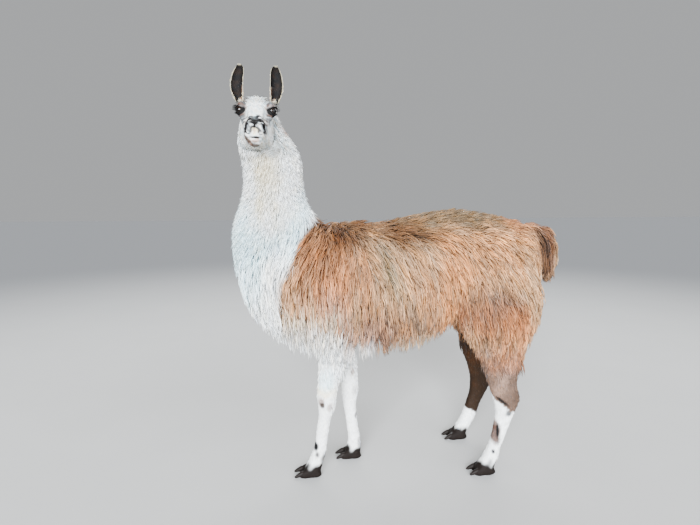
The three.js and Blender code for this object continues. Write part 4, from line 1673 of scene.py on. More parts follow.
@dataclass(frozen=True)
class Area:
    """One area of the long coat. Sizes are in millimetres."""

    seed: int
    count: int
    width: float  # each lock's greatest width
    rings: int = 5  # steps along a lock
    depth: float = 24  # how deep under the outline the deepest locks run
    flare: float = 0.0  # how far the tips turn outwards
    clump: int = 8  # locks to a clump
    hold: tuple[float, float] = (0.45, 0.8)  # how closely locks keep to their clump
    waviness: float = 1.0


TRUNK = Area(10, 30500, 4.0)
NECK = Area(20, 19500, 2.9, rings=3, depth=13, flare=0.3, clump=6, hold=(0.15, 0.45), waviness=0.5)
TAIL = Area(30, 2000, 4.4, flare=0.35, clump=9)


@dataclass(frozen=True)
class Station:
    """How the coat lies and how long it is near one place, seen from the side. Sizes are in millimetres."""

    x: float
    z: float
    lie: tuple[float, float]
    length: float
    wave: float = 1.0


STATIONS = tuple(Station(*row) for row in (
    (-560, 1520, (0.05, -1), 40, 0.3), (-560, 1300, (0, -1), 44, 0.3), (-650, 1250, (-0.04, -1), 46, 0.3),
    (-480, 1250, (0.06, -1), 46, 0.3), (-700, 1050, (0, -1), 60, 0.5), (-560, 1100, (-0.12, -1), 62, 0.4),
    (-430, 1100, (-0.28, -0.95), 74, 0.4), (-500, 950, (-0.35, -0.94), 95, 0.6),
    (-440, 1000, (-0.33, -0.94), 95, 0.7), (-650, 900, (0.16, -0.98), 95, 0.6),
    (-580, 780, (0.3, -0.95), 125, 0.8), (-450, 720, (0.06, -1), 140, 0.9), (-320, 1110, (0.05, -1), 70),
    (-200, 1130, (0.4, -0.92), 66), (-250, 950, (0, -1), 112), (-310, 800, (0, -1), 122),
    (-330, 660, (-0.02, -1), 140), (-50, 1110, (0.65, -0.75), 74), (100, 1140, (0.8, -0.6), 66, 1.4),
    (0, 950, (0.45, -0.9), 118), (0, 790, (0.12, -1), 128), (0, 640, (0, -1), 146),
    (-150, 800, (0.06, -1), 124), (-120, 960, (0.38, -0.92), 114), (210, 1150, (0.85, -0.5), 64, 1.5),
    (200, 1000, (0.5, -0.87), 100), (200, 820, (0.15, -1), 112), (140, 690, (-0.08, -1), 130),
    (350, 1150, (0.9, -0.45), 60, 1.5), (380, 1020, (0.6, -0.8), 84, 1.2),
    (460, 1120, (0.85, -0.5), 60, 1.4), (480, 950, (0.5, -0.87), 84), (560, 1040, (0.62, -0.8), 74),
    (400, 850, (0.35, -0.94), 86), (520, 800, (0.25, -0.97), 80), (320, 800, (0.22, -0.97), 88),
    (400, 660, (0.1, -1), 78), (450, 560, (0, -1), 40, 0.7), (600, 900, (0.1, -1), 80),
    (545, 620, (-0.28, -0.96), 55, 0.8), (520, 560, (-0.3, -0.96), 40, 0.6),
    (650, 1060, (0.75, -0.65), 96, 0.5), (695, 1000, (0.12, -1), 112, 0.5), (685, 880, (0, -1), 100, 0.5),
))


@dataclass
class Locks:
    """Many locks as closed, tapering, three-sided tubes along their paths."""

    paths: Array  # (lock, ring, 3)
    outward: Array  # (lock, ring, 3)
    width: Array  # each lock's greatest width, in metres
    colour: Array  # each lock's linear colour
    unwrap: Array  # each root's place on the unwrapped skin, 0 to 1
    ends: Optional[Array] = None  # the colour each lock turns to at its tip, if it is another
    flat: float = 0.55  # thickness as a share of the width
    # painted shade: how dark a lock is painted at its root, where the locks over it would shade it
    root_painted_shade: float = 0.74
    tip_shade: float = 1.15
    seed: int = 1
    patch: float = 0.003  # a lock's patch on the map, as a share of the map

    def __post_init__(self) -> None:
        """Keeps the locks' own colour to their tips where no other is given."""
        self.ends = self.colour if self.ends is None else self.ends

    def part(self, which: Array) -> "Locks":
        """Takes some of the locks."""
        rows = ("paths", "outward", "width", "colour", "ends", "unwrap")
        return replace(self, **{name: getattr(self, name)[which] for name in rows})

    def build(self, name: str) -> Piece:
        """Makes the locks as one mesh, with their colours and their map.

        Args:
            name: The piece's name.

        Returns:
            The piece.
        """
        count, rings = self.paths.shape[:2]
        random = seeded(self.seed)
        along = unit(np.gradient(self.paths, axis=1))
        outward = unit(self.outward - (self.outward * along).sum(-1, keepdims=True) * along)
        across = np.cross(along, outward)
        turn = random.uniform(-0.7, 0.7, (count, 1, 1))
        c, s = np.cos(turn), np.sin(turn)
        across, outward = across * c + outward * s, outward * c - across * s
        t = np.linspace(0, 1, rings + 1)[:-1]
        taper = np.interp(t, [0, 0.25, 0.6, 0.85, 1], [0.75, 1, 0.9, 0.55, 0.1])
        tall = np.interp(t, [0, 0.25, 0.6, 0.85, 1], [0.75, 1, 0.9, 0.6, 0.15])
        half = (self.width[:, None] * taper / 2)[..., None]
        high = (self.width[:, None] * tall * self.flat)[..., None]
        spread = [(-1, -0.35), (1, -0.35), (0, 0.65)]
        ring = np.stack([self.paths + across * half * a + outward * high * b for a, b in spread], axis=2)
        return self._mesh(name, ring, random)

    def _mesh(self, name: str, ring: Array, random: np.random.Generator) -> Piece:
        """Joins the rings of every lock.

        Args:
            name: The piece's name.
            ring: Ring corners, (lock, ring, corner, 3); the last ring becomes the tip.
            random: Where its randomness comes from.

        Returns:
            The piece.
        """
        count, body = len(ring), ring.shape[1] - 1
        points = np.concatenate([ring[:, :body].reshape(count, -1, 3), self.paths[:, -1:]], axis=1)
        each = points.shape[1]
        grid = np.arange(body * 3).reshape(body, 3)
        point = np.stack([grid[-1], np.roll(grid[-1], -1), np.full(3, body * 3)], -1)
        pattern = np.concatenate([walls(grid).ravel(), point.ravel(), [0, 2, 1]])
        corners = (pattern[None] + (np.arange(count) * each)[:, None]).ravel()
        sizes = np.tile(np.concatenate([np.full((body - 1) * 3, 4), np.full(4, 3)]), count)
        piece = make_object(name, points.reshape(-1, 3), corners, sizes)
        steps = np.concatenate([np.repeat(np.arange(body) / body, 3), [1.0]])
        # painted shade darkens each lock toward its root; bleaching makes its tip lighter
        shade = np.interp(steps, [0, 0.35, 1], [self.root_painted_shade, 1, self.tip_shade])
        toned = self.colour[:, None] + (self.ends - self.colour)[:, None] * (steps**1.5)[None, :, None]
        paint(piece, (toned * shade[None, :, None]).reshape(-1, 3))
        length = np.linalg.norm(np.diff(self.paths, axis=1), axis=-1).sum(1)
        side = np.concatenate([np.tile([-1.0, 1.0, 0.0], body), [0.0]])
        lie = np.zeros((count, each, 3), np.float32)
        lie[..., 0] = side * self.width[:, None] / 2
        lie[..., 1] = steps * length[:, None]
        lie[..., 2] = random.uniform(0, 60, count)[:, None]
        piece.data.attributes.new("lie", "FLOAT_VECTOR", "POINT").data.foreach_set("vector", lie.ravel())
        local = np.stack([side * self.patch / 2, (steps - 0.5) * self.patch], axis=-1)
        local[:3, 1] += np.array([0.0, 0.0, -0.0004])
        place = 0.004 + 0.992 * np.clip(self.unwrap, 0, 1)
        spread = (place[:, None] + local[None]).reshape(-1, 2)
        layer = piece.data.uv_layers.new(name="OFBake")
        layer.data.foreach_set("uv", spread[corners].astype(np.float32).ravel())
        return piece


@dataclass(frozen=True)
class Fleece:
    """How the long coat of trunk, neck, thighs and tail grows. Sizes are in millimetres."""

    wave_length: float = 62
    wave: float = 4.2
    stray: float = 0.07  # share of locks that stay out of their clump
    stray_hold: float = 0.15  # how closely those keep to it
    lengths: tuple[float, float] = (0.8, 1.35)  # shortest and longest lock, of its place's length
    proud: float = 2  # how far the outermost locks stand off the outline
    fly: float = 8  # how much further the share of locks in the next line stands off
    fly_share: float = 0.05
    turn_in: float = 22  # over how many millimetres off its layer a lock turns back to it
    ends_at: tuple[float, float] = (-22, 10)  # where hanging locks are cut, off the outline
    reach: float = 0.0012  # how softly one station gives way to the next, in square metres
    substeps: int = 3  # steps between two rings

    def lie(self, points: Array) -> tuple[Array, Array, Array]:
        """Reads how the coat lies.

        Args:
            points: Places.

        Returns:
            Directions in x and z, lengths, and how wavy it is.
        """
        spots = np.array([(s.x, s.z) for s in STATIONS]) * MM
        off = ((points[:, None, [0, 2]] - spots) ** 2).sum(-1)
        weight = 1 / (off + self.reach) ** 2
        weight /= weight.sum(1, keepdims=True)
        lies, length, wave = (weight @ np.array([getattr(s, name) for s in STATIONS])
                              for name in ("lie", "length", "wave"))
        return lies, length * MM, wave

    def grow(self, area: Area, roots: Array, normals: Array, envelope: Volume) -> tuple[Array, Array, Array]:
        """Grows a lock from each root: out to its layer, then along the lie and down, free under the body.

        Args:
            area: Which area it is.
            roots: Places.
            normals: Outward directions there.
            envelope: The outline that the tips reach.

        Returns:
            Paths, outward directions along them, and how wavy each lock is.
        """
        random = seeded(area.seed + 2)
        count, rings = len(roots), area.rings
        _, length, wavy = self.lie(roots)
        length = length * random.uniform(*self.lengths, count)
        deep = random.uniform(0, 1, count) ** 1.4 * area.depth * MM - self.proud * MM
        turn_out = np.abs(random.normal(0, area.flare, count)) if area.flare else np.zeros(count)
        deep -= self.fly * MM * (random.uniform(0, 1, count) < self.fly_share)
        sway = 0.16 * ripple(roots, 0.05, area.seed + 2) * np.clip(wavy - 0.4, 0, 1.2)
        yaw = random.normal(0, 0.07, count) + sway
        c, s = np.cos(yaw), np.sin(yaw)
        at, path, out = roots - normals * 0.002, [], []
        for ring in range(rings + 1):
            path.append(at)
            out.append(envelope.read(at)[1])
            for sub in range(self.substeps if ring < rings else 0):
                t = (ring + sub / self.substeps) / rings
                distance, facing = envelope.read(at)
                a, b = self.lie(at)[0].T
                way = np.stack([a * c - b * s, np.zeros(count), b * c + a * s], 1)
                free = rise(-0.15, -0.6, facing[:, 2])
                into = (way * facing).sum(1, keepdims=True) * facing * (1 - free)[:, None]
                flat = unit(way - into + [0, 0, -0.02])
                push = np.clip((-deep - distance) / (self.turn_in * MM), -0.9, 1.25) * (1 - free)
                way = unit(flat + facing * (push + turn_out * t**2)[:, None] + normals * 0.6 * (1 - t) ** 5)
                at = at + way * (length / rings / self.substeps)[:, None]
        paths = self._trim(np.stack(path, 1), envelope, random, area.flare * 0.03)
        return paths, unit(np.stack(out, 1) * [1, 1, 0.6]), wavy

    def _trim(self, paths: Array, envelope: Volume, random: np.random.Generator, extra: float) -> Array:
        """Shortens locks that would hang out of the outline.

        Args:
            paths: The locks' paths.
            envelope: The outline.
            random: Where its randomness comes from.
            extra: How far further out tips may end.

        Returns:
            Paths with as many rings, each ending near the outline at the latest.
        """
        count, rings = paths.shape[:2]
        limit = random.uniform(self.ends_at[0] * MM, self.ends_at[1] * MM, count) + extra
        distance = np.stack([envelope.read(paths[:, k])[0] for k in range(rings)], 1)
        over = distance > limit[:, None]
        over[:, :2] = False
        first = np.where(over.any(1), over.argmax(1), rings - 1)
        before = distance[np.arange(count), first - 1]
        after = distance[np.arange(count), first]
        part = np.clip((limit - before) / np.maximum(after - before, 1e-4), 0.05, 1)
        stop = (first - 1 + np.where(over.any(1), part, 1)) / (rings - 1)
        place = np.linspace(0, 1, rings)[None] * stop[:, None] * (rings - 1)
        low = np.clip(place.astype(int), 0, rings - 2)
        share = (place - low)[..., None]
        index = np.arange(count)[:, None]
        return paths[index, low] * (1 - share) + paths[index, low + 1] * share

    def comb(self, area: Area, paths: Array, outward: Array, wavy: Array) -> Pair:
        """Draws neighbouring locks together into clumps and waves them.

        Args:
            area: Which area it is.
            paths: The locks' paths.
            outward: Outward directions along them.
            wavy: How wavy each lock is.

        Returns:
            The new paths, and which clump each lock is in.
        """
        random = seeded(area.seed + 53)
        count, rings = paths.shape[:2]
        guides = random.choice(count, max(1, count // area.clump), replace=False)
        middle = paths[:, rings // 2]
        group, _ = nearest(middle[guides], middle)
        t = np.linspace(0, 1, rings)[None]
        alone = random.uniform(0, 1, count) < self.stray
        hold = np.where(alone, self.stray_hold, random.uniform(*area.hold, count))
        along = unit(np.gradient(paths, axis=1))
        gap = paths[guides[group]] - paths
        gap -= (gap * along).sum(-1, keepdims=True) * along
        gathered = paths + gap * (t[..., None] ** 1.2) * hold[:, None, None]
        length = np.linalg.norm(np.diff(gathered, axis=1), axis=-1).sum(1)
        across = unit(np.cross(unit(np.gradient(gathered, axis=1)), outward))
        phase = random.uniform(0, 2 * math.pi, len(guides))[group] + random.normal(0, 0.35, count)
        stretch = random.uniform(0.8, 1.3, len(guides))[group] * self.wave_length * MM
        turn = 2 * math.pi * t * length[:, None] / stretch[:, None] + phase[:, None]
        size = self.wave * MM * (wavy * area.waviness) * random.uniform(0.4, 1.2, count)
        size = size[:, None] * t**0.6
        gathered += across * (np.sin(turn) * size)[..., None]
        gathered += outward * (np.sin(turn * 0.8 + 1.3) * size * 0.55)[..., None]
        return gathered, group

    @staticmethod
    def tint(colour: Array, group: Array, strength: float, seed: int) -> Array:
        """Varies the colour from clump to clump and lock to lock.

        Args:
            colour: Linear colours, one row for each lock.
            group: Which clump each lock is in.
            strength: How much it varies.
            seed: Which randomness.

        Returns:
            The new colours.
        """
        random = seeded(seed + 90)
        clumps, count = group.max() + 1, len(group)
        warm = (random.normal(0, 0.06, clumps)[group] + random.normal(0, 0.05, count))[:, None] * strength
        value = (random.normal(0, 0.17, clumps)[group] + random.normal(0, 0.17, count))[:, None] * strength
        pale = colour.mean(1, keepdims=True) > 0.5
        value = np.where(pale, np.minimum(value * 0.45, 0.03), value)
        warm = np.where(pale, warm * 0.3, warm)
        return np.clip(colour * np.exp(value) * (1 + warm * np.array([1.0, 0.1, -1.3])), 0.004, 0.93)


@dataclass
class Coat:
    """Every piece of the coat."""

    skin: Skin
    markings: Markings
    fleece: Fleece = field(default_factory=Fleece)
    head_count: int = 9600
    leg_count: int = 6800
    leg_lengths: tuple = (  # (height, length of the hair), in millimetres
        (0, 4), (40, 7), (75, 13), (150, 12), (300, 13), (380, 15), (450, 26), (520, 42), (660, 60),
    )
    head_lengths: tuple = (  # (place forward, length of the hair), in millimetres
        (-30, 40), (40, 34), (90, 26), (130, 18), (170, 13), (210, 7), (240, 4), (280, 3),
    )
    lashes: tuple = ((84, 1, 13), (40, -1, 6))  # (how many, 1 up or -1 down, length in millimetres)
    envelope: Optional[Volume] = None  # the outline that the tips reach
    pieces: list = field(default_factory=list)

    def build(self) -> list[Piece]:
        """Grows the fleece, the short coat of the legs, the hair of the head and the lashes.

        Returns:
            Every piece.
        """
        self.envelope = self.skin.body.coat()
        for grow in (self._trunk, self._neck, self._tail, self._legs, self._head, self._lashes):
            grow()
        return self.pieces

    def _keep(self, name: str, locks: Locks) -> None:
        """Builds a piece, gives it to the body and reports it.

        Args:
            name: The piece's name.
            locks: Its locks.
        """
        piece = locks.build("coat_" + name)
        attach(piece, "root")
        self.pieces.append(piece)
        LOG.info("%s: %d locks, %d triangles", piece.name, len(locks.width), triangles(piece))

    @staticmethod
    def _neckness(points: Array) -> Array:
        """Tells the neck's roots from the trunk's, from 0 to 1."""
        return rise(-0.05, 0.05, (points[:, 2] - 1.012) - 0.62 * (points[:, 0] + 0.545) - 0.06)

    @staticmethod
    def _tailness(points: Array, normals: Array) -> Array:
        """Tells the tail's roots."""
        return ((points[:, 0] > 0.625) & (points[:, 2] > 0.8)).astype(float)

    @staticmethod
    def _headness(points: Array) -> Array:
        """Tells the head's roots from the neck's."""
        s, f, z = to_head(points).T
        return ((z > 1.385) & (f > 0.045 + (1.56 - z) * 0.22)) | ((z > 1.56) & (f > -0.01)) | (z > 1.6)

    def _trunk_share(self, points: Array, normals: Array) -> Array:
        """Gives how densely the trunk's coat stands: thinner where the legs and the belly hide it.

        Args:
            points: Places.
            normals: Outward directions there.

        Returns:
            Densities from 0 to 1.
        """
        x, y, z = points.T
        s = (1 - self._neckness(points)) * (1 - self._tailness(points, normals)) * (z > 0.5)
        inner = np.where((np.abs(y) < 0.1) & (z < 0.72), 0.3, 1.0)
        legs = (z < 0.61) & (x < 0.1)
        return s * inner * np.where(normals[:, 2] < -0.6, 0.45, 1.0) * (1 - legs) * ~self._headness(points)

    def _neck_share(self, points: Array, normals: Array) -> Array:
        """Gives how densely the neck's coat stands."""
        return self._neckness(points) * ~self._headness(points)

    @staticmethod
    def _leg_share(points: Array, normals: Array) -> Array:
        """Gives how densely the legs' coat stands."""
        inside = (points[:, 2] < np.where(points[:, 0] < 0.1, 0.66, 0.585)) * (points[:, 2] > 0.006)
        return inside * np.interp(points[:, 2], [0, 0.06, 0.5, 0.66], [1.6, 1.2, 1, 0.6])

    def _head_share(self, points: Array, normals: Array) -> Array:
        """Stands hair on the head, off the eyes' sockets.

        Args:
            points: Places.
            normals: Not used.

        Returns:
            Densities.
        """
        local = to_head(points)
        keep = self._headness(points).astype(float)
        for eye in EYES:
            keep *= np.linalg.norm(local - eye.centre, axis=1) > (eye.radius + 2.2) * MM
        return keep * np.interp(local[:, 1], [0, 0.2, 0.28], [0.8, 1.3, 2.0])

    def _fleece(self, area: Area, share: Callable) -> tuple[Array, ...]:
        """Grows and combs one area of the fleece.

        Args:
            area: Which area it is.
            share: Gives how densely its roots stand.

        Returns:
            Roots, paths, outward directions, how wavy each lock is, and its clump.
        """
        roots, normals = self.skin.roots(area.count, share, area.seed + 1)
        paths, outward, wavy = self.fleece.grow(area, roots, normals, self.envelope)
        paths, group = self.fleece.comb(area, paths, outward, wavy)
        return roots, paths, outward, wavy, group

    def _toned(self, area: Area, places: Array, group: Array) -> Array:
        """Gives each lock the colour of a place, varied from clump to clump."""
        return Fleece.tint(self.markings.at(places), group, 1.0, area.seed + 4)

    def _trunk(self) -> None:
        """Grows the trunk's coat in six pieces."""
        roots, paths, outward, wavy, group = self._fleece(TRUNK, self._trunk_share)
        random = seeded(TRUNK.seed + 5)
        seen = paths[:, TRUNK.rings // 2]
        seen = seen + random.normal(0, 1, seen.shape) * [0.006, 0, 0.022] * rise(0.78, 0.7, seen[:, 2:])
        colour = self._toned(TRUNK, seen, group)
        ends = self._toned(TRUNK, paths[:, -1] - [0, 0, 0.01], group)
        x, _, z = paths[:, -1].T
        bleached = rise(0.66, 0.59, z) * rise(-0.11, -0.05, x) * rise(0.3, 0.2, x)  # the hem's tips
        ends = toward(ends, CREAM, bleached * random.uniform(0, 0.5, len(ends)), 0.8)
        width = TRUNK.width * MM * random.uniform(0.7, 1.3, len(roots)) * np.interp(wavy, [0.3, 1], [0.85, 1])
        x, y, z = roots.T
        unwrap = np.stack([(x + 0.76) / 1.5, turned(y, z - 0.88)], 1)
        locks = Locks(paths, outward, width, colour, unwrap, ends, seed=TRUNK.seed + 6)
        part = np.searchsorted(np.quantile(x, [1 / 3, 2 / 3]), x) * 2 + (y > 0)
        names = ("fore_left", "fore_right", "mid_left", "mid_right", "hind_left", "hind_right")
        for k, name in enumerate(names):
            self._keep("trunk_" + name, locks.part(part == k))

    def _neck(self) -> None:
        """Grows the neck's coat in two pieces."""
        roots, paths, outward, _, group = self._fleece(NECK, self._neck_share)
        colour = self._toned(NECK, paths[:, 2], group)
        x, y, z = roots.T
        width = NECK.width * MM * seeded(NECK.seed + 5).uniform(0.7, 1.3, len(roots))
        width *= np.interp(z, [0.8, 1.2], [1.2, 0.95])
        unwrap = np.stack([turned(y, x + 0.56), (z - 0.65) / 0.97], 1)
        # a little painted shade at the neck's roots
        shades = {"root_painted_shade": 0.95, "tip_shade": 1.02}
        locks = Locks(paths, outward, width, colour, unwrap, seed=NECK.seed + 6, **shades)
        self._keep("neck_left", locks.part(y <= 0))
        self._keep("neck_right", locks.part(y > 0))

    def _tail(self) -> None:
        """Grows the tail's brush."""
        roots, paths, outward, _, group = self._fleece(TAIL, self._tailness)
        colour = self._toned(TAIL, paths[:, 3], group)
        x, y, z = roots.T
        width = TAIL.width * MM * seeded(TAIL.seed + 5).uniform(0.7, 1.3, len(roots))
        unwrap = np.stack([turned(y, x - 0.66), (z - 0.8) / 0.32], 1)
        self._keep("tail", Locks(paths, outward, width, colour, unwrap, seed=TAIL.seed + 6))

    @staticmethod
    def _tufts(roots: Array, normals: Array, way: Array, length: Array, lift: Array, droop: float) -> Pair:
        """Grows short tufts of three steps that rise and lie back down.

        Args:
            roots: Places.
            normals: Outward directions.
            way: Which way the hair lies.
            length: Each tuft's length.
            lift: How steeply it starts, as a share of its length.
            droop: How far it bends back.

        Returns:
            Paths and outward directions.
        """
        flat = unit(way - (way * normals).sum(1, keepdims=True) * normals)
        t = np.linspace(0, 1, 4)[None, :, None]
        step, lift = length[:, None, None], lift[:, None, None]
        rising = normals[:, None] * (t * lift - droop * lift * t * t) * step
        paths = (roots - normals * 0.0012)[:, None] + flat[:, None] * t * step + rising
        return paths, np.repeat(normals[:, None], 4, axis=1)

    def _legs(self) -> None:
        """Grows the legs' short coat, longer above the knees and hocks."""
        roots, normals = self.skin.roots(self.leg_count, self._leg_share, 41)
        random = seeded(42)
        x, y, z = roots.T
        count = len(z)
        length = curve(z / MM, self.leg_lengths) * MM
        length *= random.uniform(0.7, 1.3, count)
        length *= 1 + 0.5 * rise(0.2, 0.8, normals[:, 0]) * (z > 0.05)
        way = [0.12 + random.normal(0, 0.16, count), random.normal(0, 0.16, count), np.full(count, -1.0)]
        way = np.stack(way, 1)
        way[:, 0] -= 1.1 * rise(0.06, 0.03, z)
        lift = random.uniform(0.16, 0.34, count) + 0.1 * rise(0.4, 0.5, z)
        paths, outward = self._tufts(roots, normals, way, length, lift, 0.55)
        paths[..., 2] = np.maximum(paths[..., 2], 0.0015)
        colour = Fleece.tint(self.markings.at(paths[:, 1]), np.arange(count) % 400, 1.1, 43)
        width = np.interp(z, [0, 0.08, 0.4, 0.6], [1.8, 2.4, 2.8, 4.4]) * MM * random.uniform(0.7, 1.3, count)
        leg = (x > 0.1) * 2 + (y > 0)
        centre = np.array([[-0.345, -0.08], [-0.235, 0.08], [0.42, -0.15], [0.43, 0.17]])[leg]
        angle = turned(y - centre[:, 1], x - centre[:, 0])
        unwrap = np.stack([(leg + 0.02 + 0.96 * angle) / 4, z / 0.67], 1)
        # painted shade at the roots of the legs' tufts
        locks = Locks(paths, outward, width, colour, unwrap, root_painted_shade=0.85, seed=44)
        self._keep("legs_fore", locks.part(x < 0.1))
        self._keep("legs_hind", locks.part(x >= 0.1))

    def _head_length(self, s: Array, f: Array, z: Array, ear: Array) -> Array:
        """Gives how long the hair of the head is.

        Args:
            s: Places sideways.
            f: Places forward.
            z: Places up.
            ear: Which are on an ear.

        Returns:
            Lengths.
        """
        length = curve(f / MM, self.head_lengths) * MM
        length += 0.012 * rise(1.455, 1.425, z) * rise(0.24, 0.18, f) * rise(0.06, 0.1, f)
        length = np.where((f < 0.11) & (z > 1.57), np.minimum(length * 1.2, 0.034), length)
        length = np.where((z > 1.565) & (np.abs(s) > 0.034), np.minimum(length, 0.011), length)
        return np.where(ear, np.interp(z, [1.6, 1.7, 1.73], [0.016, 0.009, 0.003]), length)

    def _head(self) -> None:
        """Grows the hair of the face, the poll, the cheeks and the ears."""
        roots, normals = self.skin.roots(self.head_count, self._head_share, 51)
        random = seeded(52)
        local, facing = to_head(roots), unrolled(normals)
        s, f, z = local.T
        ear = (z > 1.6) & (np.abs(s) > 0.04) & (f < 0.085)
        length = self._head_length(s, f, z, ear)
        length *= random.uniform(0.7, 1.3, len(s))
        away = np.zeros_like(local)
        for eye in EYES:
            gap = local - eye.centre
            near = rise(0.034, 0.02, np.linalg.norm(gap, axis=1))[:, None]
            away += unit(gap) * near * 1.5
            length *= 1 - 0.65 * near[:, 0]
        poll = rise(1.575, 1.6, z) * rise(0.12, 0.09, f)
        up = 0.15 + 0.7 * poll - 0.55 * rise(1.54, 1.46, z) - 0.6 * rise(-0.2, -0.7, facing[:, 2])
        way = np.stack([np.sign(s) * 0.25, -1 + 0.55 * poll, up], 1) + away
        way[ear] = np.stack([np.sign(s[ear]) * 0.1, np.zeros(ear.sum()), np.ones(ear.sum())], 1)
        loose = np.interp(length / MM, [5, 12, 35], [0.08, 0.16, 0.35])[:, None]
        way += random.normal(0, 1, way.shape) * loose
        lift = np.interp(f, [0.03, 0.09, 0.14, 0.25], [0.6, 0.3, 0.16, 0.12])
        lift *= random.uniform(0.6, 1.3, len(s))
        lift *= 1 + 0.6 * rise(0.034, 0.022, np.abs(s)) * rise(0.09, 0.05, f)
        paths, outward = self._tufts(local, facing, way, length, np.where(ear, 0.22, lift), 0.5)
        paths = from_head(paths)
        colour = Fleece.tint(self.markings.at(paths[:, 1]), np.arange(len(s)) % 500, 1.3, 53)
        width = np.interp(f / MM, [40, 120, 220], [1.9, 1.4, 1.1]) * MM * random.uniform(0.7, 1.3, len(s))
        width = np.where(ear, 1.8 * MM, width)
        high = np.where(ear, 0.84 + (z - 1.6) / 1.2 + facing[:, 1] * 0.01, (f + 0.03) / 0.32 * 0.8)
        unwrap = np.stack([turned(s, z - 1.5), high], 1)
        # painted shade at the roots of the head's tufts
        locks = Locks(paths, rolled(outward), width, colour, unwrap, root_painted_shade=0.82, seed=54)
        self._keep("head", locks)

    def _lashes(self) -> None:
        """Sets long dark lashes along the upper lids and short ones along the lower."""
        random = seeded(61)
        parts = []
        t = np.linspace(0, 1, 5)[None, :, None]
        for eye in EYES:
            along, across, out = eye.axes()
            wide, tall = np.array(eye.opening) * MM
            for count, sign, size in self.lashes:
                u = np.linspace(-0.92, 0.92, count) * wide
                v = sign * tall * (1 - (u / wide) ** 2)
                w = np.sqrt(np.maximum(((eye.radius + 2.4) * MM) ** 2 - u * u - v * v, 1e-6))
                root = eye.centre + u[:, None] * along + v[:, None] * across + w[:, None] * out
                fan = out * 1.0 + across * sign * 0.55 + along * (u / wide)[:, None] * 0.7
                fan = fan + random.normal(0, 0.12, (count, 3))
                reach = (size * MM * random.uniform(0.7, 1.1, count))[:, None, None]
                bend = across * sign * 0.35 - np.array([0, 0, 0.25]) * (sign > 0)
                parts.append(root[:, None] + (unit(fan)[:, None] * t + bend * t * t) * reach)
        local = np.concatenate(parts)
        count = len(local)
        outward = np.tile(np.array([0.3, 0.2, 1.0]), (count, 5, 1))
        unwrap = np.stack([turned(local[:, 0, 0], local[:, 0, 2] - 1.5), local[:, 0, 1] / 0.3], 1)
        colour, width = np.tile(LASH.linear, (count, 1)), np.full(count, 0.55 * MM)
        locks = Locks(from_head(local), outward, width, colour, unwrap, flat=0.9, seed=62)
        self._keep("lashes", locks)


# ---------------------------------------------------------------- nails and studio


@dataclass(frozen=True)
class Nails:
    """Two horn nails on each foot, each a smooth pointed cap. Sizes are in millimetres."""

    sections: tuple = ((64, 27, 15, 6), (80, 31, 9, 10), (100, 21, 3, 8), (112, 12, 2, 5), (116, 9, 3, 2.0))
    around: int = 20
    steps: int = 14
    squareness: float = 0.85  # how far a section is from an oval, at 1

    def build(self, leg: Leg, lane: int) -> Piece:
        """Lofts one nail.

        Args:
            leg: The leg it stands on.
            lane: -1 or 1, which toe.

        Returns:
            The nail.
        """
        turn = np.linspace(0, 2 * math.pi, self.around, endpoint=False)
        c, s = (np.sign(v) * np.abs(v) ** self.squareness for v in (np.cos(turn), np.sin(turn)))
        rings = []
        for forward, top, bottom, half in smooth_rows(self.sections, self.steps):
            x, y = leg.lane(lane, forward)
            up = (top + bottom) / 2 + s * (top - bottom) / 2
            rings.append(np.stack([np.full(self.around, x), y + c * half, up], 1))
        points = np.concatenate([*rings, [rings[0].mean(0), rings[-1].mean(0)]]) * MM
        points[:, 2] = np.maximum(points[:, 2], 0.0005)
        side = "inner" if lane == -leg.side else "outer"
        tube = capped_tube(self.steps, self.around)
        return face_outwards(make_object(f"nail_{leg.name}_{side}", points, *tube))


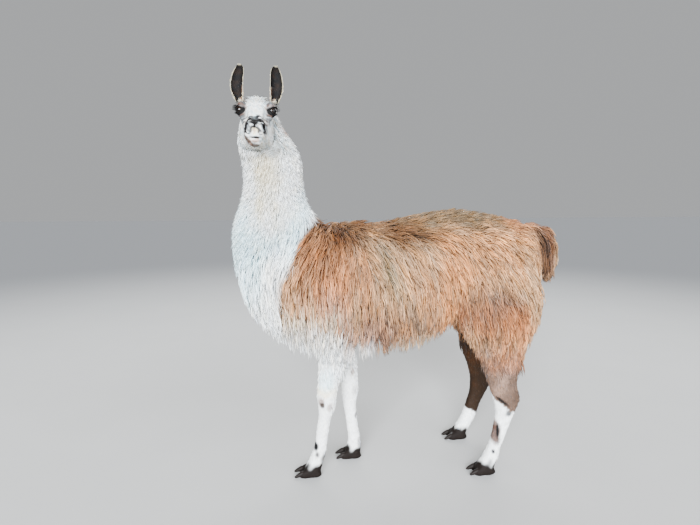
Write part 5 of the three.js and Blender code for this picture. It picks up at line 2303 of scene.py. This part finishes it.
@dataclass(frozen=True)
class Studio:
    """Floor, lights and camera, in metres."""

    camera_at: tuple[float, float, float] = (-0.53, -2.25, 1.25)
    yaw: float = math.radians(-7.6)
    pitch: float = math.radians(7.9)
    lens: float = 27.0
    floor_size: float = 40.0
    lights: tuple = (  # (name, where it comes from, how wide it looks in degrees, W/m2, colour)
        ("key", (-1.6, -5.0, 1.5), 32, 15.5, "f4f9ff"),
        ("fill", (3.2, -4.2, 1.2), 60, 5.0, "f2f6ff"),
        ("back", (1.5, 5.0, 2.6), 60, 5.0, "ffffff"),
    )
    sky: str = "e2e4e6"
    sky_strength: float = 0.6

    def build(self) -> None:
        """Sets the camera, a pale floor, a large soft key light, a fill and a pale sky."""
        data = bpy.data.cameras.new("camera")
        data.lens, data.sensor_width, data.clip_end = self.lens, 36.0, 100
        camera = bpy.data.objects.new("camera", data)
        camera.location = self.camera_at
        camera.rotation_euler = (math.pi / 2 - self.pitch, 0, self.yaw)
        bpy.context.scene.collection.objects.link(camera)
        bpy.context.scene.camera = camera
        half = self.floor_size / 2
        corners = np.array([(-half, -half, 0), (half, -half, 0), (half, half, 0), (-half, half, 0)], float)
        floor = make_object("floor", corners, np.arange(4), np.array([4]))
        floor.data.materials.append(FloorFinish().material())
        for light in self.lights:
            self._light(*light)
        world = bpy.data.worlds.new("studio_sky")
        bpy.context.scene.world = world
        world.use_nodes = True
        sky = world.node_tree.nodes["Background"].inputs
        sky["Color"].default_value = (*srgb(self.sky), 1)
        sky["Strength"].default_value = self.sky_strength

    @staticmethod
    def _light(name: str, way: tuple, spread: float, strength: float, colour: str) -> None:
        """Adds a soft light from far off.

        Args:
            name: Its name.
            way: The direction it comes from.
            spread: How wide it looks from the model, in degrees.
            strength: Its strength, in watts per square metre.
            colour: Its colour in hex.
        """
        data = bpy.data.lights.new(name, "SUN")
        data.angle, data.energy, data.color = math.radians(spread), strength, srgb(colour)
        lamp = bpy.data.objects.new(name, data)
        lamp.location = way
        lamp.rotation_euler = (-Vector(way)).to_track_quat("-Z", "Y").to_euler()
        bpy.context.scene.collection.objects.link(lamp)


FLESH = (
    "trunk", "neck", "head", "lower_jaw", "ear_left", "ear_right", "tail",
    "foreleg_left_upper", "foreleg_left_lower", "foreleg_right_upper", "foreleg_right_lower",
    "hindleg_left_upper", "hindleg_left_lower", "hindleg_right_upper", "hindleg_right_lower",
    "forefoot_left", "forefoot_right", "hindfoot_left", "hindfoot_right",
)


def main() -> None:
    """Builds the llama piece by piece."""
    logging.basicConfig(level=logging.INFO, format="%(relativeCreated)6d ms %(message)s", force=True)
    Studio().build()
    markings = Markings()
    skin = Skin()
    hide = skin.build(markings)
    hide.data.materials.clear()
    hide.data.materials.append(ShortHairFinish().material())
    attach(hide, "root")
    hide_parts(*FLESH)
    LOG.info("skin: %d triangles", triangles(hide))
    cornea = EyeFinish().material()
    for eye in EYES:
        ball = eye.build()
        ball.data.materials.append(cornea)
        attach(ball, "root")
        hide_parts("eye_left" if eye.side > 0 else "eye_right")
        LOG.info("%s: %d triangles", ball.name, triangles(ball))
    horn = NailFinish().material()
    for leg in LEGS:
        for lane in (-1, 1):
            nail = Nails().build(leg, lane)
            nail.data.materials.append(horn)
            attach(nail, "root")
            limb, side = leg.name[:4], leg.name.split("_")[1]
            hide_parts(f"{limb}nail_{side}_{nail.name.rsplit('_', 1)[1]}")
            LOG.info("%s: %d triangles", nail.name, triangles(nail))
    wool = WoolFinish().material()
    for piece in Coat(skin, markings).build():
        piece.data.materials.append(wool)


if __name__ == "__main__":
    main()
